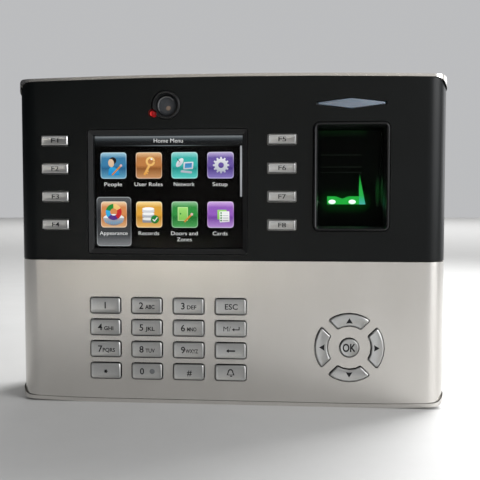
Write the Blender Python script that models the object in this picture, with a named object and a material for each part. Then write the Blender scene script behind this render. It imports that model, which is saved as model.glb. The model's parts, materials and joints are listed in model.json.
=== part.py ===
"""Wall-mounted fingerprint scanner terminal, modelled as an assembly of its separate pieces.

+X is the user's right, -Y is the side that faces the user, +Z is up. The origin is the middle
of the footprint, on the surface that the terminal stands on. Dimensions are in millimetres.
A "depth" is a distance behind the flat front face. make_object turns both into metres.
"""

import math

import bmesh
import bpy
from mathutils import Vector

# ---- driving dimensions -----------------------------------------------------------------
MM = 0.001
FACE_Y = -23.5
CLEARANCE = 0.3
OVERLAP = 0.5  # how far a shape runs into the one that it is joined to
BEYOND = 5.0  # how far a cutter runs past what it cuts

COVER_HALF_WIDTH = 101.7
COVER_THICKNESS = 2.0
COVER_DEPTH = 12.0
COVER_TOP = 154.7
COVER_BOTTOM = 2.15
COVER_TOP_RADIUS = 6.5
COVER_BOTTOM_RADIUS = 5.0
EDGE_RADIUS = 10.0
SPLIT_HEIGHT = 69.0
SPLIT_GAP = 0.5
TONGUE_HALF_WIDTH = 88.0
TONGUE_THICKNESS = 1.6
TONGUE_RISE = 2.5
TONGUE_DROP = 3.2

HOUSING_HALF_WIDTH = 101.8
HOUSING_TOP = 156.4
HOUSING_TOP_RADIUS = 3.4
HOUSING_BOTTOM_RADIUS = 4.2
HOUSING_BACK = 46.7
HOUSING_WALL = 2.2
LIP_SETBACK = 0.5
LIP_EDGE_RADIUS = 7.5
BACK_EDGE_RADIUS = 3.0
TOP_BOW = 1.5
BOTTOM_BOW = 1.2
FLAT_BASE_HALF = 60.0

HOUSING_BOSSES = [(side * 88.0, height) for side in (-1, 1) for height in (12.0, 144.0)]
HOUSING_BOSS_RADIUS = 4.6
HOUSING_BOSS_START = 14.0
COVER_BOSS_RADIUS = 3.2
SCREW_HOLE_RADIUS = 1.7
SCREW_PILOT_RADIUS = 1.2
SCREW_HEAD_RADIUS = 3.7
SCREW_HEAD_DEPTH = 42.5
POST_RADIUS = 2.0
UPPER_POSTS = [(x, z) for x in (-70.6, 13.3) for z in (75.0, 128.0)]
UPPER_POST_END = 8.0
LOWER_POSTS = [(x, z) for x in (-73.4, 78.0) for z in (12.0, 50.0)]
LOWER_POST_END = 5.8

PLATE_DEPTH = (47.0, 48.5)
PLATE_CENTRE = (0.0, 74.0)
PLATE_SIZE = (150.0, 112.0)
PLATE_CORNER = 6.0
PLATE_WINDOW_CENTRE = (0.0, 37.0)
PLATE_WINDOW_SIZE = (96.0, 30.0)
PLATE_SLOTS = [(side * 64.0, height) for side in (-1, 1) for height in (36.0, 110.0)]
PLATE_SLOT_SIZE = (4.0, 12.0)
PLATE_FLANGE_HALF = 16.0
PLATE_FLANGE_START = 37.0
PLATE_FLANGE_HEIGHT = (5.6, 7.1)
HOOK_CENTRES = (-50.0, 50.0)
HOOK_HALF = 5.0
HOOK_HEIGHT = (118.0, 121.4, 126.0)
HOOK_DEPTH = (42.6, 44.1)
HOOK_SLOT_HEIGHT = (110.0, 122.0)
SECURITY_SCREW_DEPTH = 41.0
SECURITY_HEAD_RADIUS = 3.2
SECURITY_SHANK_RADIUS = 1.4

KEY_COLUMNS = [-58.7 + 20.07 * column for column in range(4)]
KEY_ROWS = [47.1 - 10.5 * row for row in range(4)]
KEY_HOLE = (15.4, 8.3)
KEY_CORNER = 1.5
KEY_GAP = 0.45
KEY_NAMES = [
    ["key_1", "key_2", "key_3", "key_escape"],
    ["key_4", "key_5", "key_6", "key_menu"],
    ["key_7", "key_8", "key_9", "key_backspace"],
    ["key_star", "key_0", "key_hash", "key_bell"],
]
FUNCTION_COLUMNS = {"left": -82.6, "right": 25.5}
FUNCTION_ROWS = [125.7 - 13.3 * row for row in range(4)]
FUNCTION_HOLE = (13.9, 5.5)
FUNCTION_CORNER = 0.8
KEY_HEIGHT = 1.2
KEY_BEVEL = 0.5
KEY_RIM = 1.4
KEY_DISH = 0.3
KEY_FLANGE = 0.9
FLANGE_DEPTH = (2.3, 3.3)

NAV_CENTRE = (57.2, 28.5)
NAV_OUTER = 16.4
NAV_INNER = 9.9
NAV_HALF_BRIDGE = 2.0
NAV_CORNER = 0.9
OK_HOLE_RADIUS = 4.8
NAV_ANGLES = {"right": 0.0, "up": 90.0, "left": 180.0, "down": 270.0}

DISPLAY_CENTRE = (-28.65, 101.25)
DISPLAY_HOLE = (76.5, 59.2)
DISPLAY_OPENING = (71.6, 53.9)
DISPLAY_FRAME_START = 0.1
DISPLAY_MODULE = (77.0, 64.0)
DISPLAY_PANE_DEPTH = (3.2, 3.9)
DISPLAY_MODULE_DEPTH = (4.3, 8.0)
DISPLAY_TAIL_SIZE = (20.0, 12.0)
DISPLAY_TAIL_CENTRE = (-28.65, 86.0)
FRAME_FLANGE = 1.2

CAMERA_CENTRE = (-29.0, 142.0)
CAMERA_HOLE_RADIUS = 7.0
CAMERA_LENS_RADIUS = 4.55
CAMERA_BARREL_RADIUS = 4.0
CAMERA_BOARD_SIZE = (22.0, 14.0)
CAMERA_BOARD_DEPTH = (9.0, 10.2)
RING_RISE = 0.6
LED_OFFSET = (-6.3, -3.8)
LED_RADIUS = 1.85
LED_DEPTH = (-0.9, 8.7)

FINGER_CENTRE = (57.6, 108.2)
FINGER_HOLE = (35.8, 51.0)
FINGER_OPENING = (31.2, 47.0)
FINGER_RISE = 1.5
FINGER_CORNER = 3.0
FINGER_BEZEL_END = 7.0
PRISM_SIZE = (29.9, 45.6)
PRISM_FRONT = 5.3
PRISM_BACK = (8.5, 22.0)
OPTICS_SIZE = (36.0, 51.0)
OPTICS_HOLLOW = (31.2, 46.8)
OPTICS_DEPTH = (7.4, 27.0)
OPTICS_FLOOR = 25.0
SENSOR_SIGHT_HALF = 5.0
SENSOR_BOARD_SIZE = (34.0, 48.0)
SENSOR_BOARD_DEPTH = (27.3, 28.9)

STATUS_CENTRE = (57.5, 142.0)
STATUS_HALF = (15.9, 2.4)
STATUS_TIP = 0.5
STATUS_FLANGE = 1.1
STATUS_BOARD_SIZE = (36.0, 9.0)
STATUS_BOARD_DEPTH = (5.6, 7.2)
STATUS_LIGHT_OFFSETS = (-10.0, 0.0, 10.0)

BOARD_THICKNESS = 1.6
MAIN_BOARD_DEPTH = 30.0
MAIN_BOARD_CENTRE = (0.0, 64.0)
MAIN_BOARD_SIZE = (164.0, 94.0)
BOARD_FIXINGS = [(side * 76.0, height) for side in (-1, 1) for height in (24.0, 106.0)]
BOARD_POST_RADIUS = 3.0
CHIPS = [
    # centre, size and height of each
    ((-19.0, 77.0), (22.0, 22.0), 1.6),
    ((11.0, 80.0), (14.0, 20.0), 1.2),
    ((40.0, 70.0), (20.0, 20.0), 3.2),
    ((-56.0, 80.0), (20.0, 20.0), 4.0),
]
KEYPAD_BOARD_DEPTH = 6.1
KEYPAD_CENTRE = (2.2, 31.0)
KEYPAD_BOARD_SIZE = (157.0, 52.0)
MAT_DEPTH = (4.5, 4.9, 5.8)
MAT_SIZE = (145.0, 48.0)
FUNCTION_BOARD_HEIGHT = 105.75
FUNCTION_BOARD_SIZE = (17.0, 56.0)
SWITCH_HALF = (3.0, 1.5)
ANTENNA_CENTRE = (-28.5, 34.0)
ANTENNA_SIZE = (72.0, 46.0)
ANTENNA_OPENING = (56.0, 30.0)
ANTENNA_DEPTH = (10.0, 11.0)

CONNECTOR_WINDOW = (-46.0, 46.0, 24.0, 46.0)
ETHERNET = (-32.0, -16.0, 27.0, 41.0)
ETHERNET_END = 45.2
POWER = (-45.0, -36.0, 28.0, 39.0)
POWER_END = 44.0
POWER_HOLE_RADIUS = 3.2
TERMINALS = (-10.0, 42.0, 27.0, 39.0)
TERMINALS_END = 43.0
TERMINAL_WAYS = [-6.0 + 5.5 * way for way in range(9)]
USB = (-69.6, -56.4, 0.6, 15.6)
USB_END = 37.7
USB_WALL = 0.6
TAMPER_CENTRE = (62.0, 70.0)
TAMPER_HALF = 4.0
TAMPER_DEPTH = (31.9, 41.5)
PLUNGER_RADIUS = 1.6
SPEAKER_CENTRE = (66.0, 28.0)
SPEAKER_RADIUS = 14.0
GRILLE_OFFSETS = (-8.0, -4.0, 0.0, 4.0, 8.0)
GRILLE_SLOT_HALF = (1.0, 8.0)
CORNER_STEPS = 3


# ---- outlines, as lists of (x, z) -------------------------------------------------------
def round_corners(points, corners, radius, steps=CORNER_STEPS):
    """The polygon with an arc of the given radius in place of each listed corner."""
    result = []
    for index, (x, z) in enumerate(points):
        if index not in corners:
            result.append((x, z))
            continue
        before = points[index - 1]
        after = points[(index + 1) % len(points)]
        to_before = math.atan2(before[1] - z, before[0] - x)
        to_after = math.atan2(after[1] - z, after[0] - x)
        turn = (to_after - to_before + math.pi) % (2 * math.pi) - math.pi
        half = abs(turn) / 2
        middle = to_before + turn / 2
        centre_x = x + radius / math.sin(half) * math.cos(middle)
        centre_z = z + radius / math.sin(half) * math.sin(middle)
        sweep = math.pi - abs(turn)
        way = math.copysign(1.0, turn)
        for step in range(steps + 1):
            angle = middle + math.pi + way * sweep * (0.5 - step / steps)
            result.append((centre_x + radius * math.cos(angle), centre_z + radius * math.sin(angle)))
    return result


def rounded_rect(centre, size, radius, steps=CORNER_STEPS):
    half_x, half_z = size[0] / 2, size[1] / 2
    corners = [(-half_x, -half_z), (half_x, -half_z), (half_x, half_z), (-half_x, half_z)]
    points = [(centre[0] + x, centre[1] + z) for x, z in corners]
    return round_corners(points, range(4), radius, steps)


def circle(centre, radius, steps):
    angles = [2 * math.pi * step / steps for step in range(steps)]
    return [(centre[0] + radius * math.cos(a), centre[1] + radius * math.sin(a)) for a in angles]


def bottom_edge(x):
    """The underside is flat in the middle and rises towards the corners."""
    beyond = max(0.0, abs(x) - FLAT_BASE_HALF) / (COVER_HALF_WIDTH - FLAT_BASE_HALF)
    return BOTTOM_BOW * beyond ** 2


def top_edge(x):
    return -TOP_BOW * (x / COVER_HALF_WIDTH) ** 2


def front_outline(half_width, bottom, top, bottom_radius, top_radius):
    """The bowed front view: straight sides, arched top, underside that rises at both ends."""
    rise_steps, arch_steps, corner_steps = 3, 10, 4
    reach = half_width - FLAT_BASE_HALF
    rising = [FLAT_BASE_HALF + reach * step / rise_steps for step in range(rise_steps + 1)]
    lower = [(x, bottom + bottom_edge(x)) for x in [-x for x in reversed(rising)] + rising]
    arch = [half_width * (1.0 - 2.0 * step / arch_steps) for step in range(arch_steps + 1)]
    upper = [(x, top + top_edge(x)) for x in arch]
    top_corners = (len(lower), len(lower) + arch_steps)
    rounded = round_corners(lower + upper, top_corners, top_radius, corner_steps)
    return round_corners(rounded, (0, len(lower) - 1), bottom_radius, corner_steps)


def edge_profile(half_width, front, radius, end_depth, steps=8):
    """Half of a plan section, as (x, depth): a quarter arc from the flat front to the side."""
    points = []
    for step in range(steps + 1):
        angle = math.pi / 2 * step / steps
        x = half_width - radius * (1.0 - math.sin(angle))
        points.append((x, front + radius * (1.0 - math.cos(angle))))
    return points + [(half_width, end_depth)]


def mirrored_profile(half):
    return [(-x, depth) for x, depth in reversed(half)] + half


# ---- shapes, as (points, faces), with points as (x, depth, z) ---------------------------
def stack(loops, closed=False):
    """Skin over loops of (outline, depth), capped at both ends or, if closed, joined in a ring."""
    count = len(loops[0][0])
    points = [(x, depth, z) for outline, depth in loops for x, z in outline]
    faces = []
    pairs = len(loops) if closed else len(loops) - 1
    for level in range(pairs):
        here = level * count
        there = (level + 1) % len(loops) * count
        for i in range(count):
            j = (i + 1) % count
            faces.append((here + i, here + j, there + j, there + i))
    if not closed:
        faces.append(tuple(reversed(range(count))))
        faces.append(tuple(range(len(points) - count, len(points))))
    return points, faces


def prism(outline, near, far):
    return stack([(outline, near), (outline, far)])


def cylinder(centre, radius, near, far, steps=16):
    return prism(circle(centre, radius, steps), near, far)


def box(x0, x1, near, far, z0, z1):
    return prism([(x0, z0), (x1, z0), (x1, z1), (x0, z1)], near, far)


def turned(shape, order):
    """The shape with its three coordinates taken in another order."""
    points, faces = shape
    return [tuple(point[i] for i in order) for point in points], faces


def extrude_up(outline, low, high):
    """An (x, depth) outline drawn from height low to height high."""
    return turned(prism(outline, low, high), (0, 2, 1))


def extrude_across(outline, left, right):
    """A (depth, z) outline drawn from x = left to x = right."""
    return turned(prism(outline, left, right), (1, 0, 2))


def upright_cylinder(x, depth, radius, low, high, steps=16):
    return extrude_up(circle((x, depth), radius, steps), low, high)


# ---- objects ----------------------------------------------------------------------------
def clear_scene():
    for obj in list(bpy.data.objects):
        bpy.data.objects.remove(obj)


def material(name, color, roughness, metallic=0.0):
    existing = bpy.data.materials.get(name)
    if existing:
        return existing
    made = bpy.data.materials.new(name)
    made.use_nodes = True
    shader = made.node_tree.nodes["Principled BSDF"]
    shader.inputs["Base Color"].default_value = (*color, 1.0)
    shader.inputs["Roughness"].default_value = roughness
    shader.inputs["Metallic"].default_value = metallic
    return made


def inside_out(points, faces):
    """Whether the shape's volume, summed over a fan of triangles in each face, is negative."""
    volume = 0.0
    for face in faces:
        first = Vector(points[face[0]])
        for i, j in zip(face[1:], face[2:]):
            volume += first.dot(Vector(points[i]).cross(Vector(points[j])))
    return volume < 0.0


def make_object(name, shapes, surface=None, origin=(0.0, 0.0, 0.0)):
    """One object out of one or more closed shapes, with its faces pointing out."""
    mesh = bpy.data.meshes.new(name)
    work = bmesh.new()
    for points, faces in shapes:
        placed = [[(p - o) * MM for p, o in zip(point, origin)] for point in points]
        corners = [work.verts.new(point) for point in placed]
        flip = inside_out(points, faces)
        for face in faces:
            work.faces.new([corners[i] for i in (reversed(face) if flip else face)])
    work.to_mesh(mesh)
    work.free()
    obj = bpy.data.objects.new(name, mesh)
    obj.location = (origin[0] * MM, (FACE_Y + origin[1]) * MM, origin[2] * MM)
    bpy.context.scene.collection.objects.link(obj)
    mesh.shade_smooth()
    mesh.set_sharp_from_angle(angle=math.radians(30.0))
    if surface:
        mesh.materials.append(surface)
    return obj


def combine(target, operation, shapes):
    """Adds the shapes to the target, cuts them from it or keeps only what is inside them."""
    helper = make_object(f"{target.name}_{operation.lower()}_{len(target.modifiers)}", shapes)
    helper.hide_render = True
    helper.display_type = "WIRE"
    modifier = target.modifiers.new(operation.title(), "BOOLEAN")
    modifier.operation = operation
    modifier.solver = "EXACT"
    modifier.object = helper


# ---- keys -------------------------------------------------------------------------------
def nav_outline(angle, inset):
    """One arrow key's outline: a quarter of a ring whose ends follow the diagonals."""
    outer = NAV_OUTER - inset
    inner = NAV_INNER + inset
    bridge = NAV_HALF_BRIDGE + inset
    outer_half = math.pi / 4 - math.asin(bridge / outer)
    inner_half = math.pi / 4 - math.asin(bridge / inner)
    outer_steps, inner_steps = 6, 4
    points = []
    for step in range(outer_steps + 1):
        turn = math.radians(angle) + outer_half * (2 * step / outer_steps - 1)
        points.append((NAV_CENTRE[0] + outer * math.cos(turn), NAV_CENTRE[1] + outer * math.sin(turn)))
    for step in range(inner_steps + 1):
        turn = math.radians(angle) + inner_half * (1 - 2 * step / inner_steps)
        points.append((NAV_CENTRE[0] + inner * math.cos(turn), NAV_CENTRE[1] + inner * math.sin(turn)))
    corners = (0, outer_steps, outer_steps + 1, len(points) - 1)
    return round_corners(points, corners, max(0.3, NAV_CORNER - inset / 2), 2)


def key_outlines():
    """For each key: its name, its middle, and its outline as a function of the inset."""
    keys = []
    for names, z in zip(KEY_NAMES, KEY_ROWS):
        for name, x in zip(names, KEY_COLUMNS):
            keys.append((name, (x, z), rect_outline((x, z), KEY_HOLE, KEY_CORNER)))
    for first, column in ((1, "left"), (5, "right")):
        for row, z in enumerate(FUNCTION_ROWS):
            centre = (FUNCTION_COLUMNS[column], z)
            keys.append((f"key_f{first + row}", centre, rect_outline(centre, FUNCTION_HOLE, FUNCTION_CORNER)))
    middle = (NAV_OUTER + NAV_INNER) / 2
    for name, angle in NAV_ANGLES.items():
        x = NAV_CENTRE[0] + middle * math.cos(math.radians(angle))
        z = NAV_CENTRE[1] + middle * math.sin(math.radians(angle))
        keys.append((f"key_{name}", (x, z), lambda inset, angle=angle: nav_outline(angle, inset)))
    keys.append(("key_ok", NAV_CENTRE, lambda inset: circle(NAV_CENTRE, OK_HOLE_RADIUS - inset, 20)))
    return keys


def rect_outline(centre, size, radius):
    """A rounded rectangle as a function of the inset; the hole's corners are finer than the key's."""
    def at(inset):
        inner = (size[0] - 2 * inset, size[1] - 2 * inset)
        return rounded_rect(centre, inner, max(0.35, radius - inset), 2 if inset else CORNER_STEPS)

    return at


def make_keys():
    """Each key has a flange behind the cover that holds it in, a bevelled rim and a dished face."""
    for name, centre, outline in key_outlines():
        flange = outline(KEY_GAP - KEY_FLANGE)
        side = outline(KEY_GAP)
        loops = [
            (flange, FLANGE_DEPTH[1]),
            (flange, FLANGE_DEPTH[0]),
            (side, FLANGE_DEPTH[0]),
            (side, KEY_BEVEL - KEY_HEIGHT),
            (outline(KEY_GAP + KEY_BEVEL), -KEY_HEIGHT),
            (outline(KEY_GAP + KEY_RIM), KEY_DISH - KEY_HEIGHT),
        ]
        surface = material("key_silver", (0.42, 0.43, 0.43), 0.38, 0.7)
        make_object(name, [stack(loops)], surface, (centre[0], 0.0, centre[1]))


# ---- covers -----------------------------------------------------------------------------
def cover_shell(low, high):
    outer = edge_profile(COVER_HALF_WIDTH, 0.0, EDGE_RADIUS, COVER_DEPTH)
    inner_half = COVER_HALF_WIDTH - COVER_THICKNESS
    inner_radius = EDGE_RADIUS - COVER_THICKNESS
    inner = edge_profile(inner_half, COVER_THICKNESS, inner_radius, COVER_DEPTH)
    section = mirrored_profile(outer) + list(reversed(mirrored_profile(inner)))
    return extrude_up(section, low, high)


def cover_outline(gap=0.0, widening=0.02):
    """The covers' front view. The widening keeps its sides clear of the shell's own sides."""
    return front_outline(
        COVER_HALF_WIDTH + widening,
        COVER_BOTTOM - gap,
        COVER_TOP + gap,
        COVER_BOTTOM_RADIUS + gap,
        COVER_TOP_RADIUS + gap,
    )


def holes_for(keys):
    return [prism(outline(0.0), -BEYOND, BEYOND) for name, centre, outline in keys]


def cover_supports(posts, post_end, bosses):
    """Posts that rest on the boards, and bosses that the housing's screws go into."""
    inside = COVER_THICKNESS - OVERLAP
    boss_end = HOUSING_BOSS_START - CLEARANCE
    columns = [cylinder(at, POST_RADIUS, inside, post_end, 10) for at in posts]
    return columns + [cylinder(at, COVER_BOSS_RADIUS, inside, boss_end, 12) for at in bosses]


def screw_pilots(bosses):
    start = COVER_THICKNESS + 2.0
    return [cylinder(at, SCREW_PILOT_RADIUS, start, HOUSING_BOSS_START + BEYOND, 8) for at in bosses]


def split_tongue(split):
    """A strip on the upper cover's lower edge that reaches down behind the lower cover."""
    root = COVER_THICKNESS / 2
    front = COVER_THICKNESS + CLEARANCE
    back = front + TONGUE_THICKNESS
    low, shoulder, high = split - TONGUE_DROP, split + 0.2, split + TONGUE_RISE
    section = [(root, shoulder), (root, high), (back, high), (back, low), (front, low), (front, shoulder)]
    return extrude_across(section, -TONGUE_HALF_WIDTH, TONGUE_HALF_WIDTH)


def make_upper_cover(keys):
    split = SPLIT_HEIGHT + SPLIT_GAP / 2
    surface = material("cover_black", (0.012, 0.013, 0.013), 0.32)
    cover = make_object("upper_front_cover", [cover_shell(split, HOUSING_TOP + BEYOND)], surface)
    combine(cover, "INTERSECT", [prism(cover_outline(), -BEYOND, COVER_DEPTH + BEYOND)])
    bosses = [at for at in HOUSING_BOSSES if at[1] > SPLIT_HEIGHT]
    supports = cover_supports(UPPER_POSTS, UPPER_POST_END, bosses)
    combine(cover, "UNION", [split_tongue(split)] + supports)
    display = prism(rounded_rect(DISPLAY_CENTRE, DISPLAY_HOLE, 1.2), -BEYOND, BEYOND)
    finger = prism(rounded_rect(FINGER_CENTRE, FINGER_HOLE, FINGER_CORNER), -BEYOND, BEYOND)
    camera = cylinder(CAMERA_CENTRE, CAMERA_HOLE_RADIUS, -BEYOND, BEYOND, 24)
    status = prism(status_outline(-CLEARANCE), -BEYOND, BEYOND)
    upper = [key for key in keys if key[1][1] > SPLIT_HEIGHT]
    combine(cover, "DIFFERENCE", holes_for(upper) + [display, finger, camera, status])
    combine(cover, "DIFFERENCE", [led_hole()] + screw_pilots(bosses))


def make_lower_cover(keys):
    split = SPLIT_HEIGHT - SPLIT_GAP / 2
    surface = material("cover_silver", (0.44, 0.44, 0.42), 0.36, 0.6)
    cover = make_object("lower_front_cover", [cover_shell(-BEYOND, split)], surface)
    combine(cover, "INTERSECT", [prism(cover_outline(), -BEYOND, COVER_DEPTH + BEYOND)])
    bosses = [at for at in HOUSING_BOSSES if at[1] < SPLIT_HEIGHT]
    combine(cover, "UNION", cover_supports(LOWER_POSTS, LOWER_POST_END, bosses))
    lower = [key for key in keys if key[1][1] < SPLIT_HEIGHT]
    combine(cover, "DIFFERENCE", holes_for(lower) + screw_pilots(bosses))


# ---- rear housing and wall plate --------------------------------------------------------
def housing_outline(inset):
    return front_outline(
        HOUSING_HALF_WIDTH - inset,
        inset,
        HOUSING_TOP - inset,
        max(1.5, HOUSING_BOTTOM_RADIUS - inset),
        max(1.2, HOUSING_TOP_RADIUS - inset),
    )


def housing_body():
    """The outer block of the housing, with its rear edges rounded."""
    loops = [(housing_outline(0.0), LIP_SETBACK), (housing_outline(0.0), HOUSING_BACK - BACK_EDGE_RADIUS)]
    steps = 3
    for step in range(1, steps + 1):
        angle = math.pi / 2 * step / steps
        inset = BACK_EDGE_RADIUS * (1 - math.cos(angle))
        depth = HOUSING_BACK - BACK_EDGE_RADIUS * (1 - math.sin(angle))
        loops.append((housing_outline(inset), depth))
    return stack(loops)


def lip_trim():
    """What the front lips lose at both ends, where they bend back round the vertical edges."""
    half = edge_profile(HOUSING_HALF_WIDTH, LIP_SETBACK, LIP_EDGE_RADIUS, COVER_DEPTH)
    outside = HOUSING_HALF_WIDTH + BEYOND
    ahead = LIP_SETBACK - BEYOND
    side = (HOUSING_HALF_WIDTH + 0.05, COVER_DEPTH)
    start = (half[0][0] - OVERLAP, ahead)
    right = half[:-1] + [side, (outside, COVER_DEPTH), (outside, ahead), start]
    left = [(-x, depth) for x, depth in reversed(right)]
    return [extrude_up(outline, -BEYOND, HOUSING_TOP + BEYOND) for outline in (right, left)]


def housing_supports(back):
    bosses = [cylinder(at, HOUSING_BOSS_RADIUS, HOUSING_BOSS_START, back, 16) for at in HOUSING_BOSSES]
    post_start = MAIN_BOARD_DEPTH + BOARD_THICKNESS + CLEARANCE
    posts = [cylinder(at, BOARD_POST_RADIUS, post_start, back, 12) for at in BOARD_FIXINGS]
    return bosses + posts + [box(-7.0, 7.0, SECURITY_SCREW_DEPTH - 4.5, back, 1.0, 5.0)]


def grille_slots():
    half_width, half_depth = GRILLE_SLOT_HALF
    x, depth = SPEAKER_CENTRE
    return [
        box(x + offset - half_width, x + offset + half_width, depth - half_depth, depth + half_depth, -2.0, 4.0)
        for offset in GRILLE_OFFSETS
    ]


def back_wall_holes():
    """Holes through the back wall for the cables, the wall plate's hooks and flange and the tamper pin."""
    near, far = HOUSING_BACK - HOUSING_WALL - 2.5, HOUSING_BACK + BEYOND
    left, right, low, high = CONNECTOR_WINDOW
    centre = ((left + right) / 2, (low + high) / 2)
    window = prism(rounded_rect(centre, (right - left, high - low), 2.0), near, far)
    flange_half = PLATE_FLANGE_HALF + 1.0
    low, high = PLATE_FLANGE_HEIGHT[0] - 0.4, PLATE_FLANGE_HEIGHT[1] + 0.5
    flange = box(-flange_half, flange_half, near, far, low, high)
    hook_half = HOOK_HALF + 1.0
    hooks = [box(x - hook_half, x + hook_half, near, far, *HOOK_SLOT_HEIGHT) for x in HOOK_CENTRES]
    tamper = cylinder(TAMPER_CENTRE, PLUNGER_RADIUS + 0.5, near, far, 12)
    return [window, flange, tamper] + hooks


def make_rear_housing():
    surface = material("cover_silver", (0.44, 0.44, 0.42), 0.36, 0.6)
    housing = make_object("rear_housing", [housing_body()], surface)
    combine(housing, "DIFFERENCE", lip_trim())
    inside = HOUSING_BACK - HOUSING_WALL
    combine(housing, "DIFFERENCE", [prism(housing_outline(HOUSING_WALL), -BEYOND, inside)])
    pocket = cover_outline(CLEARANCE + 0.05, CLEARANCE + 0.1)
    combine(housing, "DIFFERENCE", [prism(pocket, -BEYOND, COVER_DEPTH + CLEARANCE)])
    combine(housing, "UNION", housing_supports(inside + OVERLAP))
    through = HOUSING_BACK + BEYOND
    bores = [cylinder(at, SCREW_HOLE_RADIUS, 10.0, through, 12) for at in HOUSING_BOSSES]
    pilots = [cylinder(at, SCREW_PILOT_RADIUS, MAIN_BOARD_DEPTH, 43.0, 8) for at in BOARD_FIXINGS]
    sink = upright_cylinder(0.0, SECURITY_SCREW_DEPTH, SECURITY_SHANK_RADIUS + 0.35, 2.0, 8.0, 12)
    usb = box(USB[0] - CLEARANCE, USB[1] + CLEARANCE, 31.5, USB_END + CLEARANCE, -2.0, 5.0)
    combine(housing, "DIFFERENCE", bores + pilots + [sink, usb] + back_wall_holes() + grille_slots())
    counterbores = [cylinder(at, SCREW_HEAD_RADIUS, SCREW_HEAD_DEPTH, through, 16) for at in HOUSING_BOSSES]
    recess_radius = SECURITY_HEAD_RADIUS + 0.5
    recess = upright_cylinder(0.0, SECURITY_SCREW_DEPTH, recess_radius, -2.0, 2.8, 16)
    combine(housing, "DIFFERENCE", counterbores + [recess])


def wall_hook(x):
    """An upturned hook that goes through a slot in the housing's back wall."""
    root = PLATE_DEPTH[0] + OVERLAP
    low, throat, tip = HOOK_HEIGHT
    front, back = HOOK_DEPTH
    outline = [(root, low), (root, throat), (back, throat), (back, tip), (front, tip), (front, low)]
    return extrude_across(outline, x - HOOK_HALF, x + HOOK_HALF)


def make_wall_plate():
    near, far = PLATE_DEPTH
    through = (near - 2.0, far + 2.0)
    surface = material("plate_steel", (0.5, 0.5, 0.49), 0.4, 1.0)
    sheet = prism(rounded_rect(PLATE_CENTRE, PLATE_SIZE, PLATE_CORNER), near, far)
    plate = make_object("wall_plate", [sheet], surface)
    low, high = PLATE_FLANGE_HEIGHT
    neck = box(-PLATE_FLANGE_HALF, PLATE_FLANGE_HALF, near, far, low, 22.0)
    flange = box(-PLATE_FLANGE_HALF, PLATE_FLANGE_HALF, PLATE_FLANGE_START, near + OVERLAP, low, high)
    combine(plate, "UNION", [neck])
    combine(plate, "UNION", [flange] + [wall_hook(x) for x in HOOK_CENTRES])
    window = prism(rounded_rect(PLATE_WINDOW_CENTRE, PLATE_WINDOW_SIZE, 4.0), *through)
    slots = [prism(rounded_rect(at, PLATE_SLOT_SIZE, 1.9), *through) for at in PLATE_SLOTS]
    hole_radius = SECURITY_SHANK_RADIUS + 0.5
    screw_hole = upright_cylinder(0.0, SECURITY_SCREW_DEPTH, hole_radius, 4.0, 9.0, 12)
    combine(plate, "DIFFERENCE", [window, screw_hole] + slots)


def make_security_screw():
    """Countersunk in the underside, it passes through the wall plate's lower flange."""
    surface = material("screw_steel", (0.55, 0.55, 0.55), 0.3, 1.0)
    at = (0.0, SECURITY_SCREW_DEPTH)
    head = circle(at, SECURITY_HEAD_RADIUS, 16)
    shank = circle(at, SECURITY_SHANK_RADIUS, 16)
    loops = [(head, 0.4), (head, 2.5), (shank, 2.5), (shank, 10.5)]
    screw = make_object("security_screw", [turned(stack(loops), (0, 2, 1))], surface)
    hexagon = extrude_up(circle(at, 1.5, 6), -1.0, 1.7)
    combine(screw, "DIFFERENCE", [hexagon])


# ---- display ----------------------------------------------------------------------------
def display_outline(size, radius):
    return rounded_rect(DISPLAY_CENTRE, size, radius)


def make_display():
    outer = display_outline([side - 2 * CLEARANCE for side in DISPLAY_HOLE], 1.0)
    flange = display_outline([side - 2 * CLEARANCE + 2 * FRAME_FLANGE for side in DISPLAY_HOLE], 1.0)
    inner = display_outline(DISPLAY_OPENING, 0.5)
    back = DISPLAY_MODULE_DEPTH[0] - CLEARANCE
    loops = [
        (outer, DISPLAY_FRAME_START),
        (outer, FLANGE_DEPTH[0]),
        (flange, FLANGE_DEPTH[0]),
        (flange, back),
        (inner, back),
        (inner, 1.0),
    ]
    black = material("frame_black", (0.014, 0.015, 0.016), 0.3)
    frame = make_object("display_frame", [stack(loops, closed=True)], black)
    top = SPLIT_HEIGHT + TONGUE_RISE + 3 * CLEARANCE
    relief = box(-TONGUE_HALF_WIDTH, TONGUE_HALF_WIDTH, 1.5, 5.0, SPLIT_HEIGHT - 4.0, top)
    combine(frame, "DIFFERENCE", [relief])

    pane = display_outline([side - 2 * CLEARANCE for side in DISPLAY_OPENING], 0.5)
    clear = material("clear_pane", (0.02, 0.02, 0.02), 0.05)
    make_object("display_window", [prism(pane, *DISPLAY_PANE_DEPTH)], clear)

    near, far = DISPLAY_MODULE_DEPTH
    metal = material("module_metal", (0.4, 0.4, 0.4), 0.35, 1.0)
    module = make_object("display_module", [prism(display_outline(DISPLAY_MODULE, 1.5), near, far)], metal)
    tail = rounded_rect(DISPLAY_TAIL_CENTRE, DISPLAY_TAIL_SIZE, 1.0)
    combine(module, "UNION", [prism(tail, far - OVERLAP, far + 0.6)])


# ---- camera and indicator ---------------------------------------------------------------
def led_centre():
    return (CAMERA_CENTRE[0] + LED_OFFSET[0], CAMERA_CENTRE[1] + LED_OFFSET[1])


def led_hole():
    return cylinder(led_centre(), LED_RADIUS + CLEARANCE, -BEYOND, BEYOND, 14)


def camera_circle(radius, steps=24):
    return circle(CAMERA_CENTRE, radius, steps)


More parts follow.
